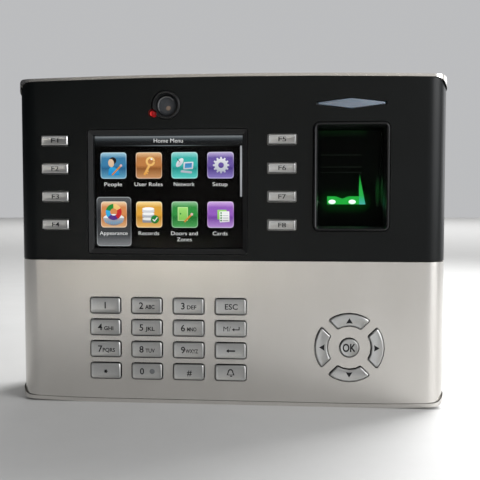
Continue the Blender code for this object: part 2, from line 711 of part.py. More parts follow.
def make_camera():
    outer = CAMERA_HOLE_RADIUS - CLEARANCE
    inner = CAMERA_LENS_RADIUS + CLEARANCE
    flange = outer + 1.0
    loops = [
        (camera_circle(outer - RING_RISE), -RING_RISE),
        (camera_circle(outer), 0.0),
        (camera_circle(outer), FLANGE_DEPTH[0]),
        (camera_circle(flange), FLANGE_DEPTH[0]),
        (camera_circle(flange), FLANGE_DEPTH[1]),
        (camera_circle(inner), FLANGE_DEPTH[1]),
        (camera_circle(inner), 0.3),
        (camera_circle(inner + 0.8), -RING_RISE),
    ]
    black = material("frame_black", (0.014, 0.015, 0.016), 0.3)
    ring = make_object("camera_ring", [stack(loops, closed=True)], black)
    combine(ring, "DIFFERENCE", [led_hole()])

    dome = [(CAMERA_LENS_RADIUS, 3.0), (CAMERA_LENS_RADIUS, 1.1), (3.7, 0.7), (2.4, 0.45), (0.9, 0.35)]
    lens = stack([(camera_circle(radius), depth) for radius, depth in dome])
    make_object("camera_lens", [lens], material("lens_glass", (0.06, 0.065, 0.07), 0.08))

    near, far = CAMERA_BOARD_DEPTH
    centre = (CAMERA_CENTRE[0] - 3.0, CAMERA_CENTRE[1])
    board = prism(rounded_rect(centre, CAMERA_BOARD_SIZE, 1.0), near, far)
    module = make_object("camera_module", [board], material("camera_black", (0.02, 0.02, 0.02), 0.5))
    barrel_start = FLANGE_DEPTH[1] + 0.1
    barrel = cylinder(CAMERA_CENTRE, CAMERA_BARREL_RADIUS, barrel_start, near + OVERLAP, 20)
    combine(module, "UNION", [barrel])

    front, back = LED_DEPTH
    bulb = [(LED_RADIUS, back), (LED_RADIUS, 0.1), (LED_RADIUS * 0.85, -0.5), (LED_RADIUS * 0.45, front)]
    led = stack([(circle(led_centre(), radius, 14), depth) for radius, depth in bulb])
    make_object("indicator_led", [led], material("led_red", (0.5, 0.02, 0.02), 0.2))


# ---- status light -----------------------------------------------------------------------
def status_outline(inset):
    """A long rhombus with blunt tips."""
    half_x, half_z = STATUS_HALF[0] - inset, STATUS_HALF[1] - inset
    tip = max(0.2, STATUS_TIP - inset / 2)
    right = [(half_x, -tip), (half_x, tip)]
    shape = [(0.0, -half_z)] + right + [(0.0, half_z)] + [(-x, -z) for x, z in right]
    return [(STATUS_CENTRE[0] + x, STATUS_CENTRE[1] + z) for x, z in shape]


def make_status_light():
    flange = status_outline(-STATUS_FLANGE)
    face = status_outline(0.0)
    loops = [
        (flange, FLANGE_DEPTH[0] + 1.1),
        (flange, FLANGE_DEPTH[0]),
        (face, FLANGE_DEPTH[0]),
        (face, 0.0),
        (status_outline(0.2), -0.2),
    ]
    make_object("status_light_lens", [stack(loops)], material("lens_blue_grey", (0.22, 0.26, 0.37), 0.3))
    near, far = STATUS_BOARD_DEPTH
    green = material("board_green", (0.02, 0.12, 0.05), 0.45)
    sheet = prism(rounded_rect(STATUS_CENTRE, STATUS_BOARD_SIZE, 1.0), near, far)
    board = make_object("status_light_board", [sheet], green)
    chips = []
    for offset in STATUS_LIGHT_OFFSETS:
        chip = rounded_rect((STATUS_CENTRE[0] + offset, STATUS_CENTRE[1]), (3.2, 2.6), 0.3)
        chips.append(prism(chip, near - 1.0, near + OVERLAP))
    combine(board, "UNION", chips)


# ---- fingerprint reader -----------------------------------------------------------------
def finger_outline(size, radius):
    return rounded_rect(FINGER_CENTRE, size, radius)


def centred_box(centre, size, near, far):
    half_x, half_z = size[0] / 2, size[1] / 2
    return box(centre[0] - half_x, centre[0] + half_x, near, far, centre[1] - half_z, centre[1] + half_z)


def make_fingerprint_bezel():
    width, height = [side - 2 * CLEARANCE for side in FINGER_HOLE]
    outer = finger_outline((width, height), FINGER_CORNER - 0.3)
    flange = finger_outline((width + 2 * FRAME_FLANGE, height + 2 * FRAME_FLANGE), FINGER_CORNER)
    opening = FINGER_OPENING
    crest = (opening[0] + 1.0, opening[1] + 1.0)
    loops = [
        (finger_outline((width - 1.6, height - 1.6), FINGER_CORNER - 0.8), -FINGER_RISE),
        (finger_outline((width - 0.4, height - 0.4), FINGER_CORNER - 0.4), 0.6 - FINGER_RISE),
        (outer, 0.0),
        (outer, FLANGE_DEPTH[0]),
        (flange, FLANGE_DEPTH[0]),
        (flange, FINGER_BEZEL_END),
        (finger_outline((opening[0] - 0.6, opening[1] - 0.6), 0.8), FINGER_BEZEL_END),
        (finger_outline(opening, 0.8), 0.3),
        (finger_outline(crest, 1.2), 0.3 - FINGER_RISE),
    ]
    black = material("frame_black", (0.014, 0.015, 0.016), 0.3)
    make_object("fingerprint_bezel", [stack(loops, closed=True)], black)


def make_fingerprint_prism():
    """A glass wedge: a finger rests on its front, and the sensor looks in through its sloping back."""
    x, z = FINGER_CENTRE
    half_x, half_z = PRISM_SIZE[0] / 2, PRISM_SIZE[1] / 2
    thin, thick = PRISM_BACK
    low, high = z - half_z, z + half_z
    wedge = [(PRISM_FRONT, low), (thick, low), (thick, low + 4.0), (thin, high), (PRISM_FRONT, high)]
    glass = material("prism_glass", (0.01, 0.03, 0.015), 0.03)
    make_object("fingerprint_prism", [extrude_across(wedge, x - half_x, x + half_x)], glass)


def make_fingerprint_optics():
    near, far = OPTICS_DEPTH
    black = material("optics_black", (0.01, 0.01, 0.01), 0.6)
    optics = make_object("fingerprint_housing", [centred_box(FINGER_CENTRE, OPTICS_SIZE, near, far)], black)
    combine(optics, "DIFFERENCE", [centred_box(FINGER_CENTRE, OPTICS_HOLLOW, near - 2.4, OPTICS_FLOOR)])
    sight = (2 * SENSOR_SIGHT_HALF, 2 * SENSOR_SIGHT_HALF)
    combine(optics, "DIFFERENCE", [centred_box(FINGER_CENTRE, sight, OPTICS_FLOOR - BEYOND, far + 3.0)])
    near, far = SENSOR_BOARD_DEPTH
    green = material("board_green", (0.02, 0.12, 0.05), 0.45)
    sheet = centred_box(FINGER_CENTRE, SENSOR_BOARD_SIZE, near, far)
    board = make_object("fingerprint_sensor_board", [sheet], green)
    combine(board, "UNION", [centred_box(FINGER_CENTRE, (8.0, 8.0), near - 1.3, near + 0.7)])


# ---- boards and what is on them ---------------------------------------------------------
def board_sheet(centre, size, corner, near):
    return prism(rounded_rect(centre, size, corner), near, near + BOARD_THICKNESS)


def make_main_board():
    near = MAIN_BOARD_DEPTH
    far = near + BOARD_THICKNESS
    green = material("board_green", (0.02, 0.12, 0.05), 0.45)
    main = make_object("main_board", [board_sheet(MAIN_BOARD_CENTRE, MAIN_BOARD_SIZE, 2.0, near)], green)
    chips = [centred_box(centre, size, far - OVERLAP, far + height) for centre, size, height in CHIPS]
    combine(main, "UNION", chips)
    holes = [cylinder(at, 1.6, near - 2.0, far + 2.0, 10) for at in BOARD_FIXINGS]
    combine(main, "DIFFERENCE", holes)


def make_keypad(keys):
    green = material("board_green", (0.02, 0.12, 0.05), 0.45)
    rubber = material("mat_rubber", (0.35, 0.35, 0.34), 0.75)
    make_object("keypad_board", [board_sheet(KEYPAD_CENTRE, KEYPAD_BOARD_SIZE, 1.5, KEYPAD_BOARD_DEPTH)], green)
    dome_front, mat_front, mat_back = MAT_DEPTH
    sheet = prism(rounded_rect(KEYPAD_CENTRE, MAT_SIZE, 2.0), mat_front, mat_back)
    mat = make_object("keypad_mat", [sheet], rubber)
    domes = []
    for name, centre, outline in keys:
        if centre[1] < SPLIT_HEIGHT:
            root = (circle(centre, 2.4, 8), mat_front + 0.4)
            domes.append(stack([root, (circle(centre, 1.6, 8), dome_front)]))
    combine(mat, "UNION", domes)


def make_function_boards():
    green = material("board_green", (0.02, 0.12, 0.05), 0.45)
    near = KEYPAD_BOARD_DEPTH
    for side, x in FUNCTION_COLUMNS.items():
        sheet = board_sheet((x, FUNCTION_BOARD_HEIGHT), FUNCTION_BOARD_SIZE, 1.0, near)
        board = make_object(f"function_key_board_{side}", [sheet], green)
        size = (2 * SWITCH_HALF[0], 2 * SWITCH_HALF[1])
        switches = [centred_box((x, z), size, MAT_DEPTH[0], near + OVERLAP) for z in FUNCTION_ROWS]
        combine(board, "UNION", switches)


def make_card_antenna():
    near, far = ANTENNA_DEPTH
    green = material("board_green", (0.02, 0.12, 0.05), 0.45)
    sheet = prism(rounded_rect(ANTENNA_CENTRE, ANTENNA_SIZE, 3.0), near, far)
    antenna = make_object("card_antenna", [sheet], green)
    opening = prism(rounded_rect(ANTENNA_CENTRE, ANTENNA_OPENING, 3.0), near - 2.0, far + 2.0)
    combine(antenna, "DIFFERENCE", [opening])


def make_speaker():
    """It faces down towards the slots in the underside."""
    profile = [(SPEAKER_RADIUS, 2.6), (SPEAKER_RADIUS, 4.6), (10.0, 7.0), (6.5, 7.0), (6.5, 9.5)]
    loops = [(circle(SPEAKER_CENTRE, radius, 20), height) for radius, height in profile]
    black = material("speaker_black", (0.03, 0.03, 0.03), 0.6)
    make_object("speaker", [turned(stack(loops), (0, 2, 1))], black)


def make_tamper_switch():
    """Its plunger rests on the wall plate, and springs out when the terminal is pulled off."""
    near, far = TAMPER_DEPTH
    size = (2 * TAMPER_HALF, 2 * TAMPER_HALF)
    black = material("switch_black", (0.02, 0.02, 0.02), 0.5)
    body = make_object("tamper_switch", [centred_box(TAMPER_CENTRE, size, near, far)], black)
    combine(body, "DIFFERENCE", [cylinder(TAMPER_CENTRE, PLUNGER_RADIUS + 0.4, 36.5, far + 2.5, 12)])
    profile = [(PLUNGER_RADIUS, 38.0), (PLUNGER_RADIUS, HOUSING_BACK - 0.7), (1.0, HOUSING_BACK)]
    plunger = stack([(circle(TAMPER_CENTRE, radius, 12), depth) for radius, depth in profile])
    white = material("plunger_white", (0.7, 0.7, 0.68), 0.4)
    make_object("tamper_plunger", [plunger], white, (TAMPER_CENTRE[0], HOUSING_BACK, TAMPER_CENTRE[1]))


def connector_body(name, bounds, end, surface):
    left, right, low, high = bounds
    near = MAIN_BOARD_DEPTH + BOARD_THICKNESS + CLEARANCE
    return make_object(name, [box(left, right, near, end, low, high)], surface)


def make_connectors():
    metal = material("connector_metal", (0.55, 0.55, 0.55), 0.3, 1.0)
    dark = material("connector_black", (0.02, 0.02, 0.02), 0.45)
    green = material("terminal_green", (0.03, 0.25, 0.1), 0.4)

    ethernet = connector_body("ethernet_jack", ETHERNET, ETHERNET_END, metal)
    left, right, low, high = ETHERNET
    socket = box(left + 2.0, right - 2.0, 34.0, ETHERNET_END + 3.0, low + 2.0, high - 4.0)
    latch_notch = box(left + 5.0, right - 5.0, 34.5, ETHERNET_END + 3.0, high - 4.5, high - 2.0)
    combine(ethernet, "DIFFERENCE", [socket])
    combine(ethernet, "DIFFERENCE", [latch_notch])

    power = connector_body("power_jack", POWER, POWER_END, dark)
    centre = ((POWER[0] + POWER[1]) / 2, (POWER[2] + POWER[3]) / 2)
    combine(power, "DIFFERENCE", [cylinder(centre, POWER_HOLE_RADIUS, 35.0, POWER_END + 4.0, 16)])

    block = connector_body("terminal_block", TERMINALS, TERMINALS_END, green)
    far = TERMINALS_END + BEYOND
    ways = [box(x - 1.7, x + 1.7, 37.0, far, 28.4, 32.0) for x in TERMINAL_WAYS]
    screws = [cylinder((x, 35.6), 1.5, 41.0, far, 8) for x in TERMINAL_WAYS]
    combine(block, "DIFFERENCE", ways + screws)

    usb = connector_body("usb_port", USB, USB_END, metal)
    left, right, low, high = USB
    near = MAIN_BOARD_DEPTH + BOARD_THICKNESS + CLEARANCE + USB_WALL
    socket = box(left + USB_WALL, right - USB_WALL, near, USB_END - USB_WALL, low - 2.0, 10.0)
    combine(usb, "DIFFERENCE", [socket])


# ---- assembly ---------------------------------------------------------------------------
def build():
    clear_scene()
    keys = key_outlines()
    make_rear_housing()
    make_wall_plate()
    make_security_screw()
    make_upper_cover(keys)
    make_lower_cover(keys)
    make_display()
    make_camera()
    make_status_light()
    make_fingerprint_bezel()
    make_fingerprint_prism()
    make_fingerprint_optics()
    make_main_board()
    make_keypad(keys)
    make_function_boards()
    make_card_antenna()
    make_speaker()
    make_tamper_switch()
    make_connectors()
    make_keys()


build()
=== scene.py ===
"""Looks of a wall-mounted fingerprint terminal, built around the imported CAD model.

+X is the user's right, -Y faces the user, +Z is up. Helpers take millimetres, with "depth" as the
distance behind the flat front face, and turn them into the frame's metres.
"""

import json
import math

import bmesh
import bpy
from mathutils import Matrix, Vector


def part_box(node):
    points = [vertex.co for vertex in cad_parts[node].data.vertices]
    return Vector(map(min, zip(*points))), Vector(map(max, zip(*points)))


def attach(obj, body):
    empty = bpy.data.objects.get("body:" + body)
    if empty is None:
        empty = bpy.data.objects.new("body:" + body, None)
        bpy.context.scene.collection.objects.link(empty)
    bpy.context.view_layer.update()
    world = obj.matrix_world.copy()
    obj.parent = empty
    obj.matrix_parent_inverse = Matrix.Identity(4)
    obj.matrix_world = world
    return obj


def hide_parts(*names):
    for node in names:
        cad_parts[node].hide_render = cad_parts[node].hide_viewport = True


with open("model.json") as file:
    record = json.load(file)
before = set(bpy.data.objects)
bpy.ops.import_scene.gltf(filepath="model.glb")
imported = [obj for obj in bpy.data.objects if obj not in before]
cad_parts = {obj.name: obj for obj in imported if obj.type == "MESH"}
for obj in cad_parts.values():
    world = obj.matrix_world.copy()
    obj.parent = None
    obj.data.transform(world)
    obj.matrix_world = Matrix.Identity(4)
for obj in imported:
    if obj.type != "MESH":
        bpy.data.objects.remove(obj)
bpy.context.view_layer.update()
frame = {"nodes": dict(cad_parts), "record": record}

MM = 0.001
FACE_Y = -23.5
TERMINAL = "terminal"
RECORD = frame["record"]
SLOT_OF = {part["node"]: part["material_slot"] for part in RECORD["subparts"]}
BODY_OF = {name: body for body, names in RECORD["behaviour"]["bodies"].items() for name in names}


def place(x, depth, z):
    return Vector((x, FACE_Y + depth, z)) * MM


def middle_of(name):
    """The middle of a CAD node's front, as (x, z) in millimetres."""
    low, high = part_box(name)
    return ((low[0] + high[0]) / 2 / MM, (low[2] + high[2]) / 2 / MM)


# ---- procedural finishes ----------------------------------------------------------------
BLACK = (0.0, 0.0, 0.0, 1.0)


def node(tree, kind, inputs=None, **settings):
    made = tree.nodes.new(kind)
    for key, value in settings.items():
        setattr(made, key, value)
    for key, value in (inputs or {}).items():
        if isinstance(value, bpy.types.NodeSocket):
            tree.links.new(value, made.inputs[key])
        else:
            made.inputs[key].default_value = value
    return made


def linear(color):
    """Screen colour values of 0 to 255 as scene-linear ones."""
    parts = [value / 255.0 for value in color]
    return tuple(v / 12.92 if v <= 0.04045 else ((v + 0.055) / 1.055) ** 2.4 for v in parts)


def ramp(tree, value, stops):
    """Colour stops, as (position, colour), read at the value."""
    made = node(tree, "ShaderNodeValToRGB", {"Fac": value})
    elements = made.color_ramp.elements
    while len(elements) < len(stops):
        elements.new(0.5)
    for element, (position, color) in zip(elements, stops):
        element.position = position
        element.color = (*color, 1.0)
    return made.outputs["Color"]


def spread(tree, value, low, high, start=0.0, end=1.0):
    inputs = {"Value": value, "From Min": start, "From Max": end, "To Min": low, "To Max": high}
    return node(tree, "ShaderNodeMapRange", inputs).outputs["Result"]


def noise(tree, where, size, detail=3.0, stretch=None):
    """Noise whose features are about size millimetres."""
    if stretch:
        where = node(tree, "ShaderNodeMapping", {"Vector": where, "Scale": stretch}).outputs["Vector"]
    made = node(tree, "ShaderNodeTexNoise", {"Vector": where, "Scale": 1.0 / (size * MM), "Detail": detail})
    return made.outputs["Fac"]


def calculate(tree, operation, first, second=0.0):
    made = node(tree, "ShaderNodeMath", {0: first, 1: second}, operation=operation)
    return made.outputs["Value"]


def weighted_sum(tree, parts):
    """The sum of (value, weight) pairs."""
    total = None
    for value, weight in parts:
        share = calculate(tree, "MULTIPLY", value, weight)
        total = share if total is None else calculate(tree, "ADD", total, share)
    return total


def object_point(tree):
    """The shaded point, in its object's own coordinates."""
    return node(tree, "ShaderNodeTexCoord").outputs["Object"]


def add_bump(tree, shader, height, relief):
    """Bump that stands the relief, in millimetres, where the height is 1."""
    inputs = {"Height": height, "Distance": relief * MM, "Strength": 1.0}
    bump = node(tree, "ShaderNodeBump", inputs)
    tree.links.new(bump.outputs["Normal"], shader.inputs["Normal"])


def new_surface(name):
    made = bpy.data.materials.new(name)
    made.use_nodes = True
    return made, made.node_tree, made.node_tree.nodes["Principled BSDF"]


def set_sockets(shader, sockets):
    for key, value in sockets.items():
        shader.inputs[key.replace("_", " ")].default_value = value


def finish(name, tones, roughness, grain=0.35, relief=0.004, blotch=30.0, stretch=None, **sockets):
    """A surface whose colour drifts between two tones, with fine grain in its gloss and relief."""
    made, tree, shader = new_surface(name)
    where = object_point(tree)
    broad = noise(tree, where, blotch, 4.0)
    fine = noise(tree, where, grain, 2.0, stretch)
    drift = node(tree, "ShaderNodeMix", {"Factor": 0.35, "A": broad, "B": fine}).outputs["Result"]
    tone = ramp(tree, drift, [(0.3, tones[0]), (0.7, tones[1])])
    tree.links.new(tone, shader.inputs["Base Color"])
    tree.links.new(spread(tree, fine, *roughness), shader.inputs["Roughness"])
    add_bump(tree, shader, fine, relief)
    set_sockets(shader, sockets)
    return made


def metal_paint(name, tones, roughness):
    """Metallic paint: fine flakes, a coarser grain and faint upright streaks."""
    made, tree, shader = new_surface(name)
    where = object_point(tree)
    flakes = noise(tree, where, 0.12, 1.0)
    grain = noise(tree, where, 0.9, 4.0)
    streaks = noise(tree, where, 14.0, 3.0, (1.0, 1.0, 0.3))
    drift = weighted_sum(tree, [(flakes, 0.3), (streaks, 0.4), (grain, 0.3)])
    tone = ramp(tree, drift, [(0.35, tones[0]), (0.65, tones[1])])
    tree.links.new(tone, shader.inputs["Base Color"])
    tree.links.new(spread(tree, grain, *roughness), shader.inputs["Roughness"])
    add_bump(tree, shader, weighted_sum(tree, [(flakes, 0.4), (grain, 0.6)]), 0.0003)
    set_sockets(shader, {"Metallic": 0.85})
    return made


def glass(name, tint, ior):
    """Clear and smooth, with faint smears in its tint and gloss."""
    made, tree, shader = new_surface(name)
    smears = noise(tree, object_point(tree), 6.0, 5.0)
    tree.links.new(spread(tree, smears, 0.01, 0.03), shader.inputs["Roughness"])
    haze = [(0.3, tuple(value * 0.97 for value in tint)), (0.7, tint)]
    tree.links.new(ramp(tree, smears, haze), shader.inputs["Base Color"])
    set_sockets(shader, {"Transmission Weight": 1.0, "IOR": ior})
    return made


def board(name):
    """Green solder mask over copper tracks, with a fibre weave under it."""
    made, tree, shader = new_surface(name)
    where = object_point(tree)
    cells = node(tree, "ShaderNodeTexVoronoi", {"Vector": where, "Scale": 260.0}, distance="MANHATTAN")
    tracks = spread(tree, cells.outputs["Distance"], 0.0, 1.0, 0.25, 0.3)
    weave = node(tree, "ShaderNodeTexChecker", {"Vector": where, "Scale": 1400.0}).outputs["Fac"]
    tone = ramp(tree, tracks, [(0.0, (0.012, 0.1, 0.035)), (1.0, (0.02, 0.17, 0.06))])
    tree.links.new(tone, shader.inputs["Base Color"])
    add_bump(tree, shader, weighted_sum(tree, [(tracks, 1.0), (weave, 0.2)]), 0.03)
    tree.links.new(spread(tree, tracks, 0.35, 0.45), shader.inputs["Roughness"])
    return made


def lit(name, stops, strength=1.0, mottle=0.08, axis="Z"):
    """A glowing area, shaded along the axis from its low end to its high one, finely mottled."""
    made, tree, shader = new_surface(name)
    coordinates = node(tree, "ShaderNodeTexCoord")
    along = node(tree, "ShaderNodeSeparateXYZ", {0: coordinates.outputs["Generated"]}).outputs[axis]
    specks = noise(tree, coordinates.outputs["Object"], 0.5, 3.0)
    shift = calculate(tree, "MULTIPLY", calculate(tree, "SUBTRACT", specks, 0.5), mottle * 2.0)
    stops = [(at, linear(color)) for at, color in stops]
    tone = ramp(tree, calculate(tree, "ADD", along, shift), stops)
    tree.links.new(tone, shader.inputs["Emission Color"])
    tree.links.new(spread(tree, specks, 0.3, 0.5), shader.inputs["Roughness"])
    set_sockets(shader, {"Base Color": BLACK, "Emission Strength": strength, "Specular IOR Level": 0.1})
    return made


def flat_lit(name, color, strength=1.0):
    darker = tuple(value * 0.86 for value in color)
    return lit(name, [(0.0, darker), (1.0, color)], strength)


# The indicator's red glow across its width, lightest at its left rim: that bright rim is a painted highlight
# over the glow.
LED_GLOW_AND_HIGHLIGHT = [(0.0, (230, 85, 75)), (0.3, (205, 40, 42)), (0.5, (128, 16, 20)), (0.75, (150, 22, 26)),
             (1.0, (110, 20, 22))]
# by material slot of the CAD record; tones and roughness as (low, high)
FINISHES = {
    "cover_silver": metal_paint("silver_paint", ((0.57, 0.55, 0.52), (0.625, 0.604, 0.573)), (0.2, 0.26)),
    "key_silver": metal_paint("key_paint", ((0.45, 0.453, 0.448), (0.505, 0.508, 0.502)), (0.26, 0.34)),
    "cover_black": finish("black_satin", ((0.0022, 0.0029, 0.003), (0.0045, 0.0058, 0.006)),
                          (0.26, 0.34), 0.6, Specular_IOR_Level=0.17),
    "frame_black": finish("black_gloss", ((0.0075, 0.0078, 0.0082), (0.0112, 0.0116, 0.012)),
                          (0.26, 0.36), 0.4, Specular_IOR_Level=0.3),
    "clear_pane": glass("clear_pane", (0.97, 0.98, 0.985), 1.1),
    "module_metal": finish("pressed_tin", ((0.34, 0.34, 0.35), (0.46, 0.46, 0.46)), (0.25, 0.4), 0.8,
                           0.01, stretch=(0.1, 1.0, 1.0), Metallic=1.0),
    "lens_glass": finish("coated_lens", ((0.045, 0.049, 0.054), (0.068, 0.073, 0.08)), (0.3, 0.45),
                         1.2, 0.002, blotch=3.0, Specular_IOR_Level=0.15),
    "camera_black": finish("camera_black", ((0.012, 0.012, 0.013), (0.022, 0.022, 0.023)), (0.45, 0.6),
                           0.5, 0.01),
    "led_red": lit("red_diffuser", LED_GLOW_AND_HIGHLIGHT, 0.9, 0.05, "X"),
    "lens_blue_grey": finish("blue_grey_diffuser", ((0.165, 0.19, 0.24), (0.195, 0.225, 0.28)),
                             (0.35, 0.45), 0.4, 0.006, Coat_Weight=0.3, Subsurface_Weight=0.2),
    "board_green": board("circuit_board"),
    "optics_black": finish("optics_black", ((0.004, 0.004, 0.004), (0.01, 0.01, 0.01)), (0.5, 0.7), 0.4,
                           0.02, Specular_IOR_Level=0.05),
    "prism_glass": glass("prism_glass", (0.6, 0.72, 0.64), 1.06),
    "mat_rubber": finish("silicone", ((0.16, 0.16, 0.155), (0.22, 0.22, 0.21)), (0.6, 0.8), 0.3, 0.02),
    "speaker_black": finish("speaker_black", ((0.02, 0.02, 0.02), (0.04, 0.04, 0.04)), (0.5, 0.7), 0.5,
                            0.03),
    "switch_black": finish("switch_black", ((0.015, 0.015, 0.015), (0.028, 0.028, 0.028)), (0.4, 0.55),
                           0.4, 0.01),
    "plunger_white": finish("plunger_white", ((0.62, 0.62, 0.59), (0.72, 0.72, 0.7)), (0.35, 0.5), 0.4,
                            0.008, Subsurface_Weight=0.1),
    "connector_metal": finish("plated_shell", ((0.46, 0.46, 0.47), (0.6, 0.6, 0.6)), (0.2, 0.35), 0.5,
                              0.008, stretch=(1.0, 1.0, 0.08), Metallic=1.0),
    "connector_black": finish("connector_black", ((0.012, 0.012, 0.012), (0.024, 0.024, 0.024)),
                              (0.35, 0.5), 0.4, 0.012),
    "terminal_green": finish("terminal_green", ((0.02, 0.21, 0.075), (0.035, 0.28, 0.11)), (0.35, 0.5),
                             0.4, 0.012),
    "plate_steel": finish("zinc_plate", ((0.36, 0.365, 0.37), (0.52, 0.52, 0.5)), (0.28, 0.45), 0.7,
                          0.008, blotch=7.0, stretch=(0.06, 1.0, 1.0), Metallic=1.0),
    "screw_steel": finish("screw_steel", ((0.42, 0.42, 0.42), (0.56, 0.56, 0.56)), (0.22, 0.36), 0.3,
                          0.006, Metallic=1.0),
}
INK = finish("legend_ink", ((0.004, 0.004, 0.006), (0.009, 0.009, 0.011)), (0.5, 0.65), 0.2, 0.004,
             Specular_IOR_Level=0.25)
GREY_INK = finish("grey_ink", ((0.11, 0.115, 0.12), (0.15, 0.155, 0.16)), (0.45, 0.6), 0.2, 0.004)
GOLD = finish("gold_contact", ((0.72, 0.46, 0.14), (0.85, 0.58, 0.22)), (0.18, 0.3), 0.3, 0.003,
              Metallic=1.0)


# ---- shapes, as (points, faces), with points as (x, depth, z) ---------------------------
def round_corners(points, radius, steps=5):
    """The (x, z) polygon with an arc in place of each corner."""
    result = []
    for index, (x, z) in enumerate(points):
        before, after = points[index - 1], points[(index + 1) % len(points)]
        to_before = math.atan2(before[1] - z, before[0] - x)
        turn = (math.atan2(after[1] - z, after[0] - x) - to_before + math.pi) % (2 * math.pi) - math.pi
        middle = to_before + turn / 2
        away = radius / math.sin(abs(turn) / 2)
        sweep = math.copysign(math.pi - abs(turn), turn)
        for step in range(steps + 1):
            angle = middle + math.pi + sweep * (0.5 - step / steps)
            result.append((x + away * math.cos(middle) + radius * math.cos(angle),
                           z + away * math.sin(middle) + radius * math.sin(angle)))
    return result


def rectangle(centre, size, radius=0.0):
    half_x, half_z = size[0] / 2, size[1] / 2
    corners = [(-half_x, -half_z), (half_x, -half_z), (half_x, half_z), (-half_x, half_z)]
    points = [(centre[0] + x, centre[1] + z) for x, z in corners]
    return round_corners(points, radius) if radius else points


def ellipse(centre, radii, steps=32, start=0.0, end=360.0, lean=0.0):
    """Points round an ellipse, or round a part of it, tipped by the lean; all angles in degrees."""
    count = steps if end - start >= 360.0 else steps + 1
    angles = [math.radians(start + (end - start) * i / steps) for i in range(count)]
    tip = math.radians(lean)
    points = []
    for angle in angles:
        x, z = radii[0] * math.cos(angle), radii[1] * math.sin(angle)
        points.append((centre[0] + x * math.cos(tip) - z * math.sin(tip),
                       centre[1] + x * math.sin(tip) + z * math.cos(tip)))
    return points


def circle(centre, radius, steps=32):
    return ellipse(centre, (radius, radius), steps)


def sector(centre, inner, outer, start, end, steps=8):
    there = ellipse(centre, (outer, outer), steps, start, end)
    return there + list(reversed(ellipse(centre, (inner, inner), steps, start, end)))


def bar(first, last, width):
    """A straight bar between two points."""
    along = Vector((last[0] - first[0], last[1] - first[1])).normalized() * width / 2
    x, z = -along.y, along.x
    return [(first[0] - x, first[1] - z), (last[0] - x, last[1] - z), (last[0] + x, last[1] + z),
            (first[0] + x, first[1] + z)]


def spoke(centre, reach, angle, width):
    """A straight bar through the centre."""
    x, z = reach * math.cos(angle), reach * math.sin(angle)
    return bar((centre[0] - x, centre[1] - z), (centre[0] + x, centre[1] + z), width)


def moved(outline, offset):
    return [(x + offset[0], z + offset[1]) for x, z in outline]


def stack(loops, closed=False):
    """Skin over loops of (outline, depth), capped at both ends or, if closed, joined in a ring."""
    count = len(loops[0][0])
    points = [(x, depth, z) for outline, depth in loops for x, z in outline]
    faces = []
    for level in range(len(loops) if closed else len(loops) - 1):
        here, there = level * count, (level + 1) % len(loops) * count
        for i in range(count):
            j = (i + 1) % count
            faces.append((here + i, here + j, there + j, there + i))
    if not closed:
        faces.append(tuple(reversed(range(count))))
        faces.append(tuple(range(len(points) - count, len(points))))
    return points, faces


def slab(outline, near, far):
    return stack([(outline, near), (outline, far)])


def holed_slab(outline, hole, near, far):
    """A slab with a hole whose outline has as many points."""
    return stack([(outline, near), (hole, near), (hole, far), (outline, far)], closed=True)


def ring(centre, profile):
    """A turned ring about an axis along depth; the profile is a closed list of (radius, depth)."""
    return stack([(circle(centre, radius, 96), depth) for radius, depth in profile], closed=True)


def turned(centre, profile, steps=48):
    return stack([(circle(centre, radius, steps), depth) for radius, depth in profile])


def upright(shape):
    """The shape turned so that its depth runs up instead, and its z runs back."""
    points, faces = shape
    return [(x, z, depth) for x, depth, z in points], faces


def dome(centre, radius, depths, steps, rings):
    """A spherical cap over a straight side; the depths are its back's, its rim's and its crown's."""
    back, rim, crown = depths
    loops = [(circle(centre, radius, steps), back)]
    for level in range(rings):
        angle = math.pi / 2 * level / rings
        outline = circle(centre, radius * math.cos(angle), steps)
        loops.append((outline, rim + (crown - rim) * math.sin(angle)))
    return stack(loops)


# ---- pieces -----------------------------------------------------------------------------
SHARP_ANGLE = 28.0


def smooth(mesh, angle=35.0):
    mesh.shade_smooth()
    mesh.set_sharp_from_angle(angle=math.radians(angle))


def bevel(obj, width):
    made = obj.modifiers.new("Bevel", "BEVEL")
    made.width = width * MM
    made.segments = 2
    made.limit_method = "ANGLE"
    made.angle_limit = math.radians(SHARP_ANGLE)
    made.harden_normals = True


def build_mesh(name, parts):
    """A mesh out of (shape, surface) pairs, each a closed shape with its faces turned outwards."""
    mesh = bpy.data.meshes.new(name)
    work = bmesh.new()
    surfaces = []
    for (points, faces), surface in parts:
        if surface not in surfaces:
            surfaces.append(surface)
        corners = [work.verts.new(place(*point)) for point in points]
        made = [work.faces.new([corners[i] for i in face]) for face in faces]
        bmesh.ops.recalc_face_normals(work, faces=made)
        for face in made:
            face.material_index = surfaces.index(surface)
    work.to_mesh(mesh)
    work.free()
    for surface in surfaces:
        mesh.materials.append(surface)
    smooth(mesh)
    return mesh


def add_object(name, mesh, body=TERMINAL, replaced=None):
    obj = bpy.data.objects.new(name, mesh)
    bpy.context.scene.collection.objects.link(obj)
    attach(obj, body)
    if replaced:
        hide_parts(replaced)
    return obj


def piece(name, parts, body=TERMINAL, replaced=None, edge=0.0):
    obj = add_object(name, build_mesh(name, parts), body, replaced)
    if edge:
        bevel(obj, edge)
    return obj


def refined(name, edge):
    """A copy of a CAD node with its sharp edges broken, which stands for that node."""
    mesh = frame["nodes"][name].data.copy()
    work = bmesh.new()
    work.from_mesh(mesh)
    bmesh.ops.remove_doubles(work, verts=work.verts, dist=0.001 * MM)
    flat = math.radians(0.5)
    bmesh.ops.dissolve_limit(work, angle_limit=flat, verts=work.verts, edges=work.edges)
    work.to_mesh(mesh)
    work.free()
    mesh.materials.clear()
    mesh.materials.append(FINISHES[SLOT_OF[name]])
    smooth(mesh, SHARP_ANGLE)
    obj = add_object(f"{name}_fine", mesh, BODY_OF[name], name)
    bevel(obj, edge)
    return obj


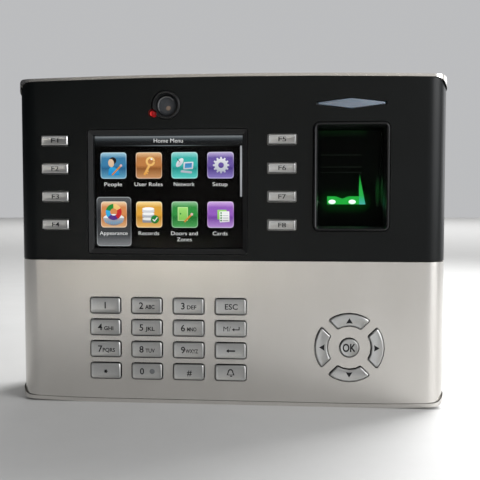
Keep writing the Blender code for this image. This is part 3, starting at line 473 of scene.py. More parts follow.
def evaluated_mesh(obj):
    """A new mesh as the object's modifiers make it."""
    graph = bpy.context.evaluated_depsgraph_get()
    return bpy.data.meshes.new_from_object(obj.evaluated_get(graph))


def carve(obj, shape):
    """Cuts the shape out of the object's mesh for good."""
    cutter = bpy.data.objects.new("cutter", build_mesh("cutter", [(shape, None)]))
    bpy.context.scene.collection.objects.link(cutter)
    cut = obj.modifiers.new("Cut", "BOOLEAN")
    cut.operation = "DIFFERENCE"
    cut.object = cutter
    result = evaluated_mesh(obj)
    obj.modifiers.remove(cut)
    obj.data = result
    bpy.data.objects.remove(cutter)
    smooth(obj.data)


def letters(words, weight):
    """The words' outlines as a flat-backed mesh one unit high, lying in the XY plane."""
    curve = bpy.data.curves.new("words", "FONT")
    curve.body = words
    curve.offset = weight
    curve.resolution_u = 3
    curve.extrude = 0.5
    curve.align_x = "CENTER"
    obj = bpy.data.objects.new("words", curve)
    bpy.context.scene.collection.objects.link(obj)
    graph = bpy.context.evaluated_depsgraph_get()
    graph.update()
    mesh = bpy.data.meshes.new_from_object(obj.evaluated_get(graph))
    bpy.data.objects.remove(obj)
    return mesh


CAPITAL_HEIGHT = max(vertex.co.y for vertex in letters("H", 0.0).vertices)
LETTER_THICKNESS = 0.06


def legend(name, words, centre, height, depth, surface, body=TERMINAL, width=None, weight=0.0):
    """Printed letters whose capitals are height millimetres tall; centre is the capitals' middle."""
    mesh = letters(words, weight)
    scale = height / CAPITAL_HEIGHT
    left = min(vertex.co.x for vertex in mesh.vertices)
    right = max(vertex.co.x for vertex in mesh.vertices)
    across = width / (right - left) if width else scale
    for vertex in mesh.vertices:
        x, y, z = vertex.co
        vertex.co = place(centre[0] + (x - (left + right) / 2) * across, depth - z * LETTER_THICKNESS,
                          centre[1] + (y - CAPITAL_HEIGHT / 2) * scale)
    mesh.materials.clear()
    mesh.materials.append(surface)
    return add_object(name, mesh, body)


# ---- shells, frames and hardware --------------------------------------------------------
def darken_openings(cover, keys):
    """The walls and rounded rims of the key openings get a near-black finish: painted shade where they lie in
    shadow.
    """
    cover.data = evaluated_mesh(cover)
    cover.modifiers.clear()
    cover.data.materials.append(FINISHES["optics_black"])
    boxes = [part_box(key) for key in keys]
    for face in cover.data.polygons:
        x, _, z = face.center
        inside = any(low[0] - MM < x < high[0] + MM and low[2] - MM < z < high[2] + MM for low, high in boxes)
        if inside and abs(face.normal.y) < 0.95:
            face.material_index = 1


EDGES = {"upper_front_cover": 0.25, "lower_front_cover": 0.35, "rear_housing": 0.25, "display_frame": 0.15,
         "fingerprint_bezel": 0.18, "wall_plate": 0.15, "ethernet_jack": 0.15, "power_jack": 0.25,
         "usb_port": 0.1, "terminal_block": 0.12}
KEY_EDGE = 0.14


def make_shells():
    bodies = RECORD["behaviour"]["bodies"]
    keys = [name.removesuffix("_body") for name in bodies if name.startswith("key_")]
    for name, edge in EDGES.items():
        made = refined(name, edge)
        if name.endswith("front_cover"):
            darken_openings(made, keys)
    for name in keys:
        cap = refined(name, KEY_EDGE)
        # Each key's side walls get a near-black finish: painted shade for the dark gap round the key.
        cap.data.materials.append(FINISHES["optics_black"])
        for face in cap.data.polygons:
            if abs(face.normal.y) < 0.1:
                face.material_index = 1


HOUSING_SCREWS = [(side * 88.0, height) for side in (-1, 1) for height in (12.0, 144.0)]


def make_housing_screws():
    """Pan heads with a cross recess, seated in the housing's counterbores."""
    profile = [(3.2, 42.7), (3.2, 43.9), (3.0, 44.5), (2.5, 44.95), (1.8, 45.2), (0.9, 45.3)]
    for number, at in enumerate(HOUSING_SCREWS, 1):
        parts = [(turned(at, profile), FINISHES["screw_steel"])]
        screw = piece(f"housing_screw_{number}", parts)
        turn = math.radians(20.0 * number)
        for angle in (turn, turn + math.pi / 2):
            carve(screw, slab(spoke(at, 2.0, angle, 0.75), 43.7, 46.0))


def make_security_screw():
    """The CAD screw's head, rounded at its rim, with its six-sided socket."""
    axis = (0.0, 41.0)
    profile = [(1.4, 10.5), (1.4, 2.5), (3.2, 2.4), (3.2, 0.7), (3.0, 0.45), (2.6, 0.4)]
    parts = [(upright(turned(axis, profile)), FINISHES["screw_steel"])]
    screw = piece("security_screw_fine", parts, replaced="security_screw")
    carve(screw, upright(slab(circle(axis, 1.5, 6), -1.0, 1.7)))


ETHERNET = (-24.0, 33.0)
POWER = (-40.5, 33.5)
USB_X = -63.0
TERMINAL_WAYS = [-6.0 + 5.5 * way for way in range(9)]
TERMINAL_SCREW_HEIGHT = 35.6
TERMINAL_CLAMP_HEIGHT = 30.2


def spaced(middle, pitch, count):
    return [middle + pitch * (index - (count - 1) / 2) for index in range(count)]


def make_connector_details():
    black = FINISHES["connector_black"]
    contacts = [(slab(bar((x, 29.2), (x, 31.4), 0.5), 36.0, 43.5), GOLD) for x in spaced(ETHERNET[0], 1.1, 8)]
    piece("ethernet_contacts", contacts, edge=0.08)
    liner = [(slab(rectangle(ETHERNET, (11.4, 7.4)), 34.1, 34.6), black)]
    piece("ethernet_liner", liner, edge=0.1)
    pin = turned(POWER, [(0.95, 35.05), (0.95, 42.2), (0.8, 42.7), (0.45, 43.0)], 24)
    piece("power_pin", [(pin, FINISHES["screw_steel"])])
    for way, x in enumerate(TERMINAL_WAYS, 1):
        at = (x, TERMINAL_SCREW_HEIGHT)
        head = turned(at, [(1.3, 41.1), (1.3, 41.9), (1.1, 42.1)], 24)
        screw = piece(f"terminal_screw_{way}", [(head, FINISHES["screw_steel"])])
        lean = 0.4 * (way % 3)
        recess = bar((at[0] - 1.5, at[1] - lean), (at[0] + 1.5, at[1] + lean), 0.4)
        carve(screw, slab(recess, 41.6, 43.0))
        clamp = slab(rectangle((x, TERMINAL_CLAMP_HEIGHT), (2.6, 2.8), 0.3), 37.3, 38.2)
        piece(f"terminal_clamp_{way}", [(clamp, FINISHES["connector_metal"])], edge=0.1)
    parts = [(upright(slab(rectangle((USB_X, 33.7), (10.4, 1.3)), 1.4, 9.9)), black)]
    for x in spaced(USB_X, 2.4, 4):
        parts.append((upright(slab(rectangle((x, 34.43), (1.1, 0.15)), 1.8, 9.0)), GOLD))
    piece("usb_tongue", parts, edge=0.05)


# ---- display ----------------------------------------------------------------------------
SCREEN = middle_of("display_window")
SCREEN_SIZE = (70.9, 53.2)
SCREEN_LEFT = SCREEN[0] - SCREEN_SIZE[0] / 2
SCREEN_RIGHT = SCREEN[0] + SCREEN_SIZE[0] / 2
SCREEN_TOP = SCREEN[1] + SCREEN_SIZE[1] / 2
ICON_COLUMNS = [SCREEN_LEFT + 8.8 + 17.2 * column for column in range(4)]
ICON_ROWS = [SCREEN_TOP - 13.9, SCREEN_TOP - 37.35]
ICON_SIZE = (12.6, 12.5)
ICON_CORNER = 1.45
TITLE_HEIGHT = 4.5
# how far behind the flat front face each layer of the screen's image lies
PANEL_DEPTH = (4.2, 4.28)
BACKDROP_DEPTH = (4.14, 4.19)
CHOSEN_DEPTHS = ((4.16, 4.19), (4.145, 4.16))
RIM_DEPTH = (4.1, 4.14)
TILE_DEPTH = (4.06, 4.1)
GLYPH_DEPTH = (4.0, 4.06)
LABEL_DEPTH = 4.06

WHITE = flat_lit("screen_white", (250, 250, 248), 1.1)
SILVER = lit("screen_silver", [(0.0, (120, 125, 135)), (0.5, (185, 188, 196)), (1.0, (240, 240, 242))])
PALE = lit("screen_pale", [(0.0, (170, 176, 190)), (1.0, (238, 238, 240))])
DARK = flat_lit("screen_dark", (34, 30, 32))
SKIN = flat_lit("screen_skin", (232, 200, 165))
SKY = lit("screen_sky", [(0.0, (15, 135, 205)), (1.0, (70, 190, 235))])
ORANGE = flat_lit("screen_orange", (236, 150, 60))
PINK = flat_lit("screen_pink", (240, 195, 190))
GOLDEN = lit("screen_golden", [(0.0, (226, 160, 70)), (1.0, (245, 205, 130))])
SCREEN_BLUE = lit("screen_blue", [(0.0, (90, 175, 215)), (1.0, (25, 95, 165))])
LEAF = lit("screen_leaf", [(0.0, (120, 190, 80)), (1.0, (165, 225, 120))])
LEAF_RIM = flat_lit("screen_leaf_rim", (200, 240, 160))
GREEN = flat_lit("screen_green", (35, 140, 55))
RED = flat_lit("screen_red", (215, 45, 50))
VIOLET = flat_lit("screen_violet", (95, 55, 145))


def icon_people(put):
    put(ellipse((-0.35, 2.35), (1.75, 1.65)), DARK)
    put(ellipse((-1.15, 1.2), (1.4, 1.95), lean=8.0), SKIN)
    put([(-2.6, -4.6), (-2.3, -1.7), (-1.3, -0.7), (0.6, -0.9), (2.4, -2.0), (3.0, -4.6)], SKY)
    put(bar((-0.7, -4.5), (3.4, -0.3), 0.75), ORANGE)
    put(circle((3.65, 0.0), 0.6, 16), PINK)


def icon_roles(put):
    put(sector((0.75, 1.9), 1.25, 2.25, 0.0, 350.0, 40), GOLDEN)
    put(bar((0.2, -0.1), (-2.2, -4.5), 1.1), GOLDEN)
    put(bar((-1.7, -3.4), (-0.5, -3.9), 0.7), GOLDEN)
    put(bar((-1.2, -2.4), (-0.1, -2.9), 0.7), GOLDEN)
    put(circle((1.3, 3.0), 0.45, 12), WHITE)


def icon_network(put):
    put(ellipse((-2.3, 1.3), (2.5, 1.25), lean=52.0), PALE)
    put(ellipse((-1.85, 1.6), (1.9, 0.8), lean=52.0), SILVER)
    put(bar((-3.6, 3.2), (-2.2, 1.5), 0.3), DARK)
    put(round_corners([(-0.6, -2.0), (4.1, -1.7), (4.3, 1.7), (-0.4, 1.5)], 0.35), PALE)
    put([(0.1, -1.35), (3.45, -1.1), (3.6, 1.1), (0.25, 0.9)], SCREEN_BLUE)
    put(round_corners([(-2.3, -3.3), (3.4, -3.9), (3.8, -2.9), (-1.4, -2.3)], 0.4), PALE)


def icon_setup(put):
    teeth = 12
    outline = []
    for tooth in range(teeth):
        for offset, radius in ((-0.32, 3.05), (-0.17, 3.9), (0.17, 3.9), (0.32, 3.05)):
            angle = 2 * math.pi * (tooth + offset) / teeth
            outline.append((0.3 + radius * math.cos(angle), radius * math.sin(angle)))
    start = 2 * math.pi * -0.32 / teeth
    angles = [start + 2 * math.pi * i / len(outline) for i in range(len(outline))]
    hole = [(0.3 + 1.35 * math.cos(angle), 1.35 * math.sin(angle)) for angle in angles]
    put(outline, PALE, hole)


def icon_style(put):
    put(ellipse((-0.1, -1.7), (5.1, 1.9)), WHITE)
    put([(-5.2, -1.7)] + ellipse((-0.1, -1.7), (5.1, 3.6), 20, 180.0, 360.0) + [(5.0, -1.7)], SILVER)
    for column in range(9):
        x = -4.1 + 1.0 * column
        drop = 4 - abs(column - 4)
        put(bar((x, -3.0 - 0.1 * drop), (x, -3.9 - 0.2 * drop), 0.35), SCREEN_BLUE)
    wheel = [(GOLDEN, 28.0, 92.0), (GREEN, 92.0, 165.0), (SKY, 165.0, 222.0), (VIOLET, 222.0, 300.0),
             (RED, 300.0, 388.0)]
    for surface, start, end in wheel:
        put(sector((-0.1, 1.2), 1.7, 3.9, start, end, 12), surface)


def icon_records(put):
    for z in (-3.0, -0.6, 1.8):
        put(round_corners([(-3.3, z - 0.9), (2.5, z - 0.9), (2.5, z + 0.9), (-3.3, z + 0.9)], 0.5), SILVER)
        put(ellipse((-0.4, z + 0.95), (2.9, 0.75)), WHITE)
    put(circle((2.8, -2.3), 2.0), GREEN)
    put(bar((1.8, -2.3), (2.6, -3.2), 0.5), WHITE)
    put(bar((2.5, -3.25), (4.0, -1.3), 0.5), WHITE)


def icon_doors(put):
    put(rectangle((-0.9, 0.3), (4.9, 6.6), 0.25), LEAF_RIM)
    put(rectangle((-0.9, 0.3), (4.1, 5.8), 0.15), LEAF)
    put(circle((-2.0, 0.4), 0.4, 12), GREEN)
    put(bar((-0.2, -3.5), (3.0, -0.3), 0.85), ORANGE)
    put(circle((3.4, 0.15), 0.65, 16), PINK)


def icon_cards(put):
    put(rectangle((0.7, 0.0), (4.4, 4.6), 0.2), LEAF)
    put(round_corners([(-0.4, -3.7), (4.3, -3.4), (4.2, 1.6), (-0.5, 1.5)], 0.25), WHITE)
    for row in range(4):
        put(rectangle((0.3, 0.8 - 1.2 * row), (0.8, 0.7)), GREEN)
        put(rectangle((2.4, 0.8 - 1.2 * row), (2.6, 0.35)), SILVER)


ICONS = [
    # label, lines under the tile, glyph, and the tile's tones from bottom to top
    (["People"], icon_people, ((95, 160, 190), (38, 95, 135), (60, 125, 165), (150, 195, 215))),
    (["User Roles"], icon_roles, ((200, 145, 95), (140, 85, 40), (190, 125, 70), (225, 180, 130))),
    (["Network"], icon_network, ((90, 205, 195), (32, 145, 138), (60, 180, 170), (140, 215, 210))),
    (["Setup"], icon_setup, ((135, 120, 190), (75, 55, 130), (105, 85, 160), (180, 165, 210))),
    (["Appearance"], icon_style, ((220, 170, 120), (185, 110, 55), (215, 140, 85), (238, 200, 155))),
    (["Records"], icon_records, ((230, 180, 100), (190, 130, 40), (225, 165, 60), (248, 215, 140))),
    (["Doors and", "Zones"], icon_doors, ((75, 160, 85), (28, 112, 45), (50, 145, 65), (130, 190, 135))),
    (["Cards"], icon_cards, ((175, 135, 205), (118, 65, 160), (150, 95, 190), (205, 165, 225))),
]


def screen_piece(name, outline, depth, surface):
    return piece(name, [(slab(outline, *depth), surface)])


def paler(color):
    return tuple((value + 255) // 2 for value in color)


def make_icon(number, glyph, tones, centre):
    """A tile with a pale rim, and its glyph; each further shape of the glyph lies a little nearer."""
    low, band, middle, high = tones
    rim_tones = [(0.0, paler(low)), (0.5, middle), (1.0, paler(high))]
    rim = lit(f"icon_rim_{number}", rim_tones, 1.0, 0.02)
    tile_tones = [(0.0, low), (0.38, band), (0.5, middle), (0.8, middle), (0.97, high)]
    tile = lit(f"icon_tile_{number}", tile_tones, 1.0, 0.06)
    screen_piece(f"icon_rim_{number}", rectangle(centre, ICON_SIZE, ICON_CORNER), RIM_DEPTH, rim)
    inner = (ICON_SIZE[0] - 0.7, ICON_SIZE[1] - 0.7)
    screen_piece(f"icon_tile_{number}", rectangle(centre, inner, ICON_CORNER - 0.3), TILE_DEPTH, tile)
    parts = []

    def put(outline, surface, hole=None):
        near = GLYPH_DEPTH[0] + 0.05 * math.exp(-0.15 * len(parts))
        if hole:
            shape = holed_slab(moved(outline, centre), moved(hole, centre), near, GLYPH_DEPTH[1])
        else:
            shape = slab(moved(outline, centre), near, GLYPH_DEPTH[1])
        parts.append((shape, surface))

    glyph(put)
    piece(f"icon_glyph_{number}", parts)


def make_title():
    middle = (SCREEN[0], SCREEN_TOP - TITLE_HEIGHT / 2)
    low = SCREEN_TOP - TITLE_HEIGHT
    tones = [(0.0, (10, 11, 12)), (0.45, (26, 28, 30)), (0.72, (60, 65, 68)), (1.0, (128, 133, 136))]
    strip = rectangle(middle, (SCREEN_SIZE[0], TITLE_HEIGHT))
    screen_piece("title_bar", strip, BACKDROP_DEPTH, lit("title_bar", tones, 1.0, 0.02))
    tones = [(0.0, (8, 8, 8)), (0.25, (50, 54, 56)), (0.5, (130, 138, 142)), (0.75, (50, 54, 56)),
             (1.0, (8, 8, 8))]
    line = rectangle((SCREEN[0], low), (SCREEN_SIZE[0], 0.3))
    screen_piece("title_line", line, RIM_DEPTH, lit("title_line", tones, 1.0, 0.01, "X"))
    legend("title_words", "Home Menu", (middle[0], middle[1] + 0.1), 1.95, LABEL_DEPTH, WHITE,
           width=14.0, weight=-0.01)
    tones = [(0.0, (150, 152, 155)), (0.5, (175, 177, 180)), (1.0, (160, 162, 165))]
    shaft = rectangle((SCREEN_RIGHT - 0.7, low - 12.3), (0.85, 24.2), 0.4)
    screen_piece("scroll_bar", shaft, BACKDROP_DEPTH, lit("scroll_bar", tones, 1.0, 0.02))


def make_chosen():
    """The grey field behind the chosen icon."""
    at = (ICON_COLUMNS[0], ICON_ROWS[1] - 3.4)
    rim_depth, fill_depth = CHOSEN_DEPTHS
    tones = [(0.0, (165, 168, 170)), (0.5, (70, 72, 75)), (0.85, (95, 97, 100)), (1.0, (175, 178, 180))]
    rim = lit("chosen_rim", tones, 1.0, 0.02)
    screen_piece("chosen_rim", rectangle(at, (16.9, 23.6), 1.6), rim_depth, rim)
    tones = [(0.0, (120, 122, 124)), (0.22, (62, 64, 66)), (0.7, (48, 50, 52)), (1.0, (88, 90, 92))]
    fill = lit("chosen_fill", tones, 1.0, 0.02)
    screen_piece("chosen_fill", rectangle(at, (16.3, 23.0), 1.4), fill_depth, fill)


def make_screen():
    panel = finish("panel_black", ((0.001, 0.0008, 0.0009), (0.0018, 0.0015, 0.0016)), (0.25, 0.35), 0.4,
                   0.002, Specular_IOR_Level=0.03)
    screen_piece("screen_panel", rectangle(SCREEN, (74.0, 56.5)), PANEL_DEPTH, panel)
    make_title()
    make_chosen()
    for number, (words, glyph, tones) in enumerate(ICONS):
        centre = (ICON_COLUMNS[number % 4], ICON_ROWS[number // 4])
        make_icon(number + 1, glyph, tones, centre)
        for line, word in enumerate(words):
            at = (centre[0] - 0.2, centre[1] - 8.95 - 2.9 * line)
            legend(f"icon_words_{number + 1}_{line + 1}", word, at, 1.75, LABEL_DEPTH, WHITE,
                   width=min(13.6, 1.42 * len(word)), weight=-0.006)


# ---- keys -------------------------------------------------------------------------------
LEGEND_DEPTH = -0.91
MARK_DEPTH = (LEGEND_DEPTH - 0.03, LEGEND_DEPTH + 0.03)
FUNCTION_LEGENDS = {f"key_f{number}": f"F{number}" for number in range(1, 9)}
DIGITS = {"key_2": "ABC", "key_3": "DEF", "key_4": "GHI", "key_5": "JKL", "key_6": "MNO", "key_7": "PQRS",
          "key_8": "TUV", "key_9": "WXYZ"}
NAV_TURNS = {"key_right": 0.0, "key_up": 90.0, "key_left": 180.0, "key_down": 270.0}


def key_words(key, tag, words, offset, height, width=None, surface=INK, weight=0.016):
    x, z = middle_of(key)
    at = (x + offset[0], z + offset[1])
    legend(f"{key}_{tag}", words, at, height, LEGEND_DEPTH, surface, f"{key}_body", width,
           weight)


def key_mark(key, tag, outlines, surface=INK):
    at = middle_of(key)
    parts = [(slab(moved(outline, at), *MARK_DEPTH), surface) for outline in outlines]
    piece(f"{key}_{tag}", parts, f"{key}_body")


def arrow_left(tip, tail, z, width, head):
    return [(tip, z), (tip + head, z - head * 0.75), (tip + head, z - width / 2), (tail, z - width / 2),
            (tail, z + width / 2), (tip + head, z + width / 2), (tip + head, z + head * 0.75)]


def make_bell_mark():
    """A bell's outline with its clapper."""
    hood = [(-1.9, -1.1)] + ellipse((0.0, 0.3), (1.35, 1.6), 12, 0.0, 180.0)[::-1] + [(1.9, -1.1)]
    inside = [(-1.2, -0.8)] + ellipse((0.0, 0.2), (0.85, 1.1), 12, 0.0, 180.0)[::-1] + [(1.2, -0.8)]
    at = middle_of("key_bell")
    rim = holed_slab(moved(hood, at), moved(inside, at), *MARK_DEPTH)
    clapper = slab(moved(rectangle((0.3, -1.55), (1.1, 0.5), 0.2), at), *MARK_DEPTH)
    piece("key_bell_mark", [(rim, INK), (clapper, INK)], "key_bell_body")


def make_legends():
    for key, words in FUNCTION_LEGENDS.items():
        key_words(key, "words", words, (0.2, 0.0), 2.3, 3.6, weight=0.01)
    for key, words in DIGITS.items():
        key_words(key, "digit", key[-1], (-2.6, 0.1), 3.0)
        key_words(key, "words", words, (1.6, -0.45), 1.8, 1.5 * len(words), weight=0.02)
    key_words("key_1", "digit", "1", (0.0, 0.1), 3.0)
    key_words("key_0", "digit", "0", (-2.4, 0.0), 2.9)
    key_mark("key_0", "spot", [circle((2.5, 0.0), 1.25)], GREY_INK)
    key_words("key_escape", "words", "ESC", (0.4, 0.0), 2.5, 6.1)
    key_words("key_hash", "words", "#", (0.4, -0.3), 2.6)
    arms = [spoke((0.0, -0.3), 0.9, turn * math.pi / 3, 0.5) for turn in range(3)]
    key_mark("key_star", "star", arms)
    key_words("key_menu", "words", "M/", (-1.6, 0.0), 2.3, 3.5, weight=0.0)
    enter = [arrow_left(0.7, 4.0, -0.35, 0.45, 1.1), rectangle((4.1, 0.25), (0.45, 1.65))]
    key_mark("key_menu", "enter", enter)
    key_mark("key_backspace", "arrow", [arrow_left(-2.1, 2.2, 0.0, 0.7, 1.25)])
    make_bell_mark()
    key_words("key_ok", "words", "OK", (0.0, 0.0), 3.6, 6.2, weight=0.03)
    for key, turn in NAV_TURNS.items():
        along, aside = math.cos(math.radians(turn)), math.sin(math.radians(turn))
        triangle = [(1.6, 0.0), (-1.3, 1.75), (-1.3, -1.75)]
        key_mark(key, "arrow", [[(x * along - z * aside, x * aside + z * along) for x, z in triangle]])


# ---- camera, indicator and status light ------------------------------------------------
CAMERA = middle_of("camera_lens")
LED = middle_of("indicator_led")
STATUS = middle_of("status_light_lens")
LENS_RADIUS = 4.3


def make_camera_ring():
    """The ring round the lens, with its notch for the indicator."""
    profile = [(4.85, 3.3), (4.85, 0.6), (5.2, 0.1), (5.65, -0.6), (5.9, -0.68), (6.2, -0.6), (6.45, -0.3),
               (6.7, 0.0), (6.7, 2.3), (7.7, 2.3), (7.7, 3.3)]
    parts = [(ring(CAMERA, profile), FINISHES["frame_black"])]
    trim = piece("camera_ring_fine", parts, replaced="camera_ring")
    carve(trim, slab(circle(LED, 1.9, 40), -5.0, 5.0))


def make_camera_lens():
    """A domed lens, with a pale crescent on its rim as a painted highlight, and a warm spot off its middle.
    """
    highlight_grey = finish("painted_lens_highlight", ((0.12, 0.125, 0.13), (0.17, 0.175, 0.18)), (0.4, 0.5), 0.3, 0.004)
    pupil_tone = finish("lens_pupil", ((0.17, 0.12, 0.085), (0.26, 0.18, 0.13)), (0.3, 0.4), 0.4, 0.002,
                        blotch=1.5)
    lens = dome(CAMERA, LENS_RADIUS, (3.1, 2.9, 2.0), 64, 10)
    rim = ring(CAMERA, [(4.8, 3.1), (4.75, 2.75), (4.5, 2.35), (LENS_RADIUS, 2.1), (4.15, 2.2), (4.1, 2.6),
                        (4.1, 3.1)])
    # the pale crescent over the upper side of the rim is a painted highlight
    crescent = slab(sector(CAMERA, 3.75, LENS_RADIUS, 38.0, 215.0, 40), 2.05, 2.6)
    surface = FINISHES["lens_glass"]
    piece("camera_lens_fine", [(lens, surface), (rim, surface), (crescent, highlight_grey)],
          replaced="camera_lens")
    pupil = dome((CAMERA[0] + 0.75, CAMERA[1] - 1.15), 1.25, (2.4, 2.15, 1.93), 40, 6)
    piece("camera_pupil", [(pupil, pupil_tone)])


def make_camera_parts():
    make_camera_ring()
    make_camera_lens()
    bulb = dome((LED[0] - 0.1, LED[1] - 0.15), 1.25, (8.7, 0.2, -0.55), 40, 8)
    piece("indicator_led_fine", [(bulb, FINISHES["led_red"])], replaced="indicator_led")


def status_rhombus(half_length, inset):
    """The status light's outline, with its corners blunted."""
    half, tip = 2.3, 0.4
    reach = half_length - inset
    corners = [(0.0, inset - half), (reach, -tip), (reach, tip), (0.0, half - inset), (-reach, tip),
               (-reach, -tip)]
    return round_corners(moved(corners, STATUS), 0.25, 4)


def make_status_light():
    low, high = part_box("status_light_lens")
    half_length = (high[0] - low[0]) / 2 / MM - 1.8
    profile = [(-0.9, 3.35), (-0.9, 2.35), (0.0, 2.3), (0.0, 0.0), (0.08, -0.14), (0.25, -0.2)]
    lens = stack([(status_rhombus(half_length, inset), depth) for inset, depth in profile])
    piece("status_light_fine", [(lens, FINISHES["lens_blue_grey"])],
          replaced="status_light_lens")


# ---- fingerprint reader -----------------------------------------------------------------
FINGER = middle_of("fingerprint_prism")
LAMP_HEIGHT = 96.5
LAMP_PLACES = (49.6, 59.4)
GLOW_PLACES = (49.2, 52.5, 56.2, 59.8, 63.2)
STRIP_LOW = 95.3


def glow_field(name, spots, color, core, reach, floor=0.0):
    """Light that falls off around each (x, z) spot, white in its core and coloured further out."""
    made, tree, shader = new_surface(name)
    where = object_point(tree)
    split = node(tree, "ShaderNodeSeparateXYZ", {0: where})
    near = None
    for x, z in spots:
        aside = calculate(tree, "SUBTRACT", split.outputs["X"], x * MM)
        above = calculate(tree, "SUBTRACT", split.outputs["Z"], z * MM)
        squares = calculate(tree, "ADD", calculate(tree, "MULTIPLY", aside, aside),
                            calculate(tree, "MULTIPLY", above, above))
        distance = calculate(tree, "SQRT", squares)
        near = distance if near is None else calculate(tree, "MINIMUM", near, distance)
    ripple = calculate(tree, "MULTIPLY", noise(tree, where, 0.8), 0.15)
    fade = calculate(tree, "ADD", spread(tree, near, 1.0, 0.0, 0.0, reach * MM), ripple)
    outer = tuple(value * floor for value in color)
    middle = tuple(value * max(0.35, floor) for value in color)
    stops = [(0.1, outer), (0.45, middle), (0.8 - core, color), (0.93 - core, (0.75, 1.0, 0.9)),
             (1.0 - core * 0.5, (1.0, 1.0, 1.0))]
    tree.links.new(ramp(tree, fade, stops), shader.inputs["Emission Color"])
    set_sockets(shader, {"Base Color": (0.002, 0.002, 0.002, 1.0), "Emission Strength": 1.0,
                         "Roughness": 0.6, "Specular IOR Level": 0.1})
    return made


def make_lamps():
    """The lit strip under the prism with its two lamps, and the glow behind them."""
    dim = tuple(value * 0.11 for value in linear((20, 160, 44)))
    halo = glow_field("lamp_glow", [(x, LAMP_HEIGHT) for x in GLOW_PLACES], dim, -0.6, 6.0)
    plate = slab(rectangle((56.4, 98.2), (28.0, 20.0), 1.0), 23.4, 23.8)
    piece("lamp_glow_plate", [(plate, halo)])
    lamp_spots = [(x, LAMP_HEIGHT) for x in LAMP_PLACES]
    strip = glow_field("lamp_strip", lamp_spots, linear((46, 202, 78)), 0.08, 3.4, 0.95)
    notched = [(47.2, STRIP_LOW), (65.2, STRIP_LOW), (65.2, 99.2), (57.8, 99.2), (54.6, 98.0), (51.4, 99.2),
               (47.2, 99.2)]
    piece("lamp_strip", [(slab(round_corners(notched, 0.3), 21.6, 22.4), strip)], edge=0.1)
    white = flat_lit("lamp_white", (250, 255, 252), 2.0)
    crown = ((1.0, 21.8), (1.0, 21.5), (0.85, 21.2), (0.5, 21.0))
    lamps = []
    for spot in lamp_spots:
        loops = [(ellipse(spot, (1.75 * size, 1.05 * size)), depth) for size, depth in crown]
        lamps.append((stack(loops), white))
    piece("lamps", lamps)


def make_fingerprint_light():
    """What the window shows: lamps, the prism's lit edge, faint reflections and the light trap."""
    make_lamps()
    tones = [(0.0, (95, 205, 200)), (0.14, (70, 200, 165)), (0.3, (55, 205, 95)), (0.6, (50, 195, 80)),
             (1.0, (35, 160, 60))]
    spike = [(62.8, STRIP_LOW), (65.8, STRIP_LOW), (64.2, 103.0), (62.9, 109.6), (62.6, 103.0)]
    piece("prism_edge_light", [(slab(spike, 20.9, 21.3), lit("edge_light", tones, 1.0, 0.03))])
    tones = [(0.0, (1, 5, 2)), (0.35, (10, 48, 18)), (0.6, (12, 54, 20)), (1.0, (1, 4, 2))]
    streak = slab(ellipse((71.4, 101.5), (0.9, 7.5)), 19.0, 19.3)
    piece("side_reflection", [(streak, lit("side_reflection", tones, 0.9, 0.1))])
    tones = [(0.0, (0, 1, 0)), (0.6, (4, 16, 5)), (1.0, (8, 36, 10))]
    ceiling = slab(rectangle((55.0, 129.6), (23.0, 3.0), 0.8), 24.4, 24.8)
    piece("top_glow", [(ceiling, lit("top_glow", tones, 0.8, 0.1))])
    grey = finish("light_trap", ((0.008, 0.01, 0.01), (0.014, 0.017, 0.016)), (0.5, 0.6), 0.5, 0.01)
    ribs = [(slab(rectangle((54.0, z), (20.0, 0.45), 0.2), 22.0, 24.9), grey) for z in (110.9, 113.6, 119.5)]
    piece("light_trap_ribs", ribs)
    # A black sheet over the sight hole: painted shade for the dark deep inside the reader.
    shade_sheet = slab(rectangle(FINGER, (11.5, 11.5), 1.0), 24.2, 24.7)
    piece("sensor_shade_sheet", [(shade_sheet, FINISHES["optics_black"])])


# ---- stage ------------------------------------------------------------------------------
def make_stage():
    mesh = bpy.data.meshes.new("floor")
    work = bmesh.new()
    bmesh.ops.create_circle(work, cap_ends=True, segments=96, radius=4.0)
    work.to_mesh(mesh)
    work.free()
    floor = bpy.data.objects.new("floor", mesh)
    bpy.context.scene.collection.objects.link(floor)
    pale = finish("floor_pale", ((0.54, 0.54, 0.535), (0.57, 0.57, 0.565)), (0.5, 0.65), 4.0, 0.02)
    mesh.materials.append(pale)


def mix_colors(tree, factor, first, second):
    # a Mix node has a set of sockets for each data type: 6, 7 and output 2 are its colours
    made = node(tree, "ShaderNodeMix", {0: factor, 6: first, 7: second}, data_type="RGBA")
    return made.outputs[2]


def make_world():
    """Pale to the camera. As light it is dark on the left, bright at the front right and dim overhead."""
    world = bpy.data.worlds.new("studio")
    world.use_nodes = True
    tree = world.node_tree
    split = node(tree, "ShaderNodeSeparateXYZ", {0: node(tree, "ShaderNodeTexCoord").outputs["Generated"]})
    across = spread(tree, split.outputs["X"], 0.0, 1.0, -1.0, 1.0)
    tones = [(0.0, (0.02, 0.022, 0.03)), (0.3, (0.05, 0.053, 0.06)), (0.42, (0.5, 0.48, 0.44)),
             (0.55, (0.8, 0.78, 0.74)), (0.75, (0.8, 0.81, 0.83))]
    right = spread(tree, split.outputs["X"], 0.0, 1.0, 0.55, 0.78)
    front = spread(tree, split.outputs["Y"], 1.0, 0.0, -0.3, -0.05)
    behind = spread(tree, split.outputs["Y"], 0.0, 0.5, 0.2, 0.4)
    aside = calculate(tree, "ADD", front, behind)
    bright = calculate(tree, "MULTIPLY", right, aside)
    sides = mix_colors(tree, bright, ramp(tree, across, tones), (4.6, 4.65, 4.75, 1.0))
    above = spread(tree, split.outputs["Z"], 0.0, 1.0, 0.35, 0.8)
    overhead = mix_colors(tree, above, sides, (0.3, 0.3, 0.3, 1.0))
    seen = node(tree, "ShaderNodeLightPath").outputs["Is Camera Ray"]
    light = mix_colors(tree, seen, overhead, (0.5, 0.505, 0.515, 1.0))
    tree.links.new(light, tree.nodes["Background"].inputs["Color"])
    bpy.context.scene.world = world


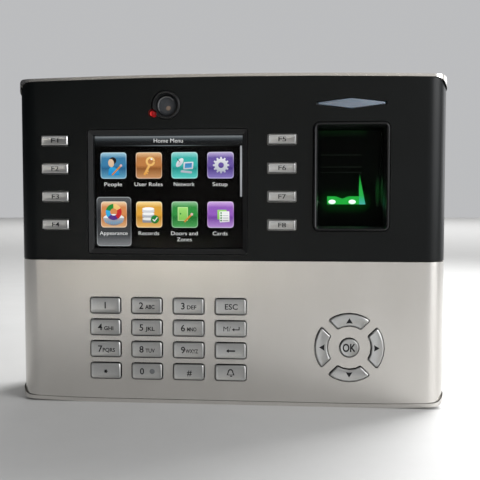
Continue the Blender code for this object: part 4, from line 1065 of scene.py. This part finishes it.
def area_light(name, location, target, size, power, opening=180.0, color=(1.0, 1.0, 1.0)):
    data = bpy.data.lights.new(name, "AREA")
    data.shape = "RECTANGLE"
    data.size, data.size_y = size
    data.energy = power
    data.spread = math.radians(opening)
    data.color = color
    light = bpy.data.objects.new(name, data)
    light.location = location
    light.rotation_euler = (Vector(target) - Vector(location)).to_track_quat("-Z", "Y").to_euler()
    light.visible_camera = False
    bpy.context.scene.collection.objects.link(light)


def below(location):
    """The point of the floor under the location."""
    return (location[0], location[1], 0.0)


def make_lights():
    area_light("right", (0.6, -0.35, 0.45), (0.0, 0.0, 0.08), (0.4, 0.4), 2.2)
    area_light("back_rim", (0.5, 0.6, 0.75), (0.1, 0.1, 0.1), (0.6, 0.4), 6.0, 110.0)
    # pools of light on the floor: two in front, which the silver cover reflects, and one far behind
    left, right, far = (-0.28, -1.1, 0.6), (0.22, -1.1, 0.6), (0.2, 2.2, 1.8)
    area_light("front_pool_left", left, below(left), (0.3, 0.4), 7.5, 70.0, (1.0, 0.92, 0.81))
    area_light("front_pool_right", right, below(right), (0.25, 0.4), 1.2, 70.0, (1.0, 0.98, 0.95))
    area_light("far_floor", far, below(far), (3.0, 1.5), 26.0, 120.0)


CAMERA_PLACE = (35.4, -350.0, 97.4)
CAMERA_PITCH = math.radians(-3.05)
CAMERA_YAW = math.radians(4.81)
CAMERA_LENS = 56.115


def make_camera():
    data = bpy.data.cameras.new("camera")
    data.lens = CAMERA_LENS
    data.sensor_width = 36.0
    data.clip_start = 0.01
    camera = bpy.data.objects.new("camera", data)
    camera.location = place(*CAMERA_PLACE)
    camera.rotation_euler = (math.pi / 2 + CAMERA_PITCH, 0.0, CAMERA_YAW)
    bpy.context.scene.collection.objects.link(camera)
    bpy.context.scene.camera = camera


def dress_nodes():
    for name, obj in frame["nodes"].items():
        obj.data.materials.clear()
        obj.data.materials.append(FINISHES[SLOT_OF[name]])


make_camera()
make_stage()
make_world()
make_lights()
dress_nodes()
make_shells()
make_housing_screws()
make_security_screw()
make_connector_details()
make_screen()
make_legends()
make_camera_parts()
make_status_light()
make_fingerprint_light()
bpy.context.scene.view_settings.view_transform = "Standard"
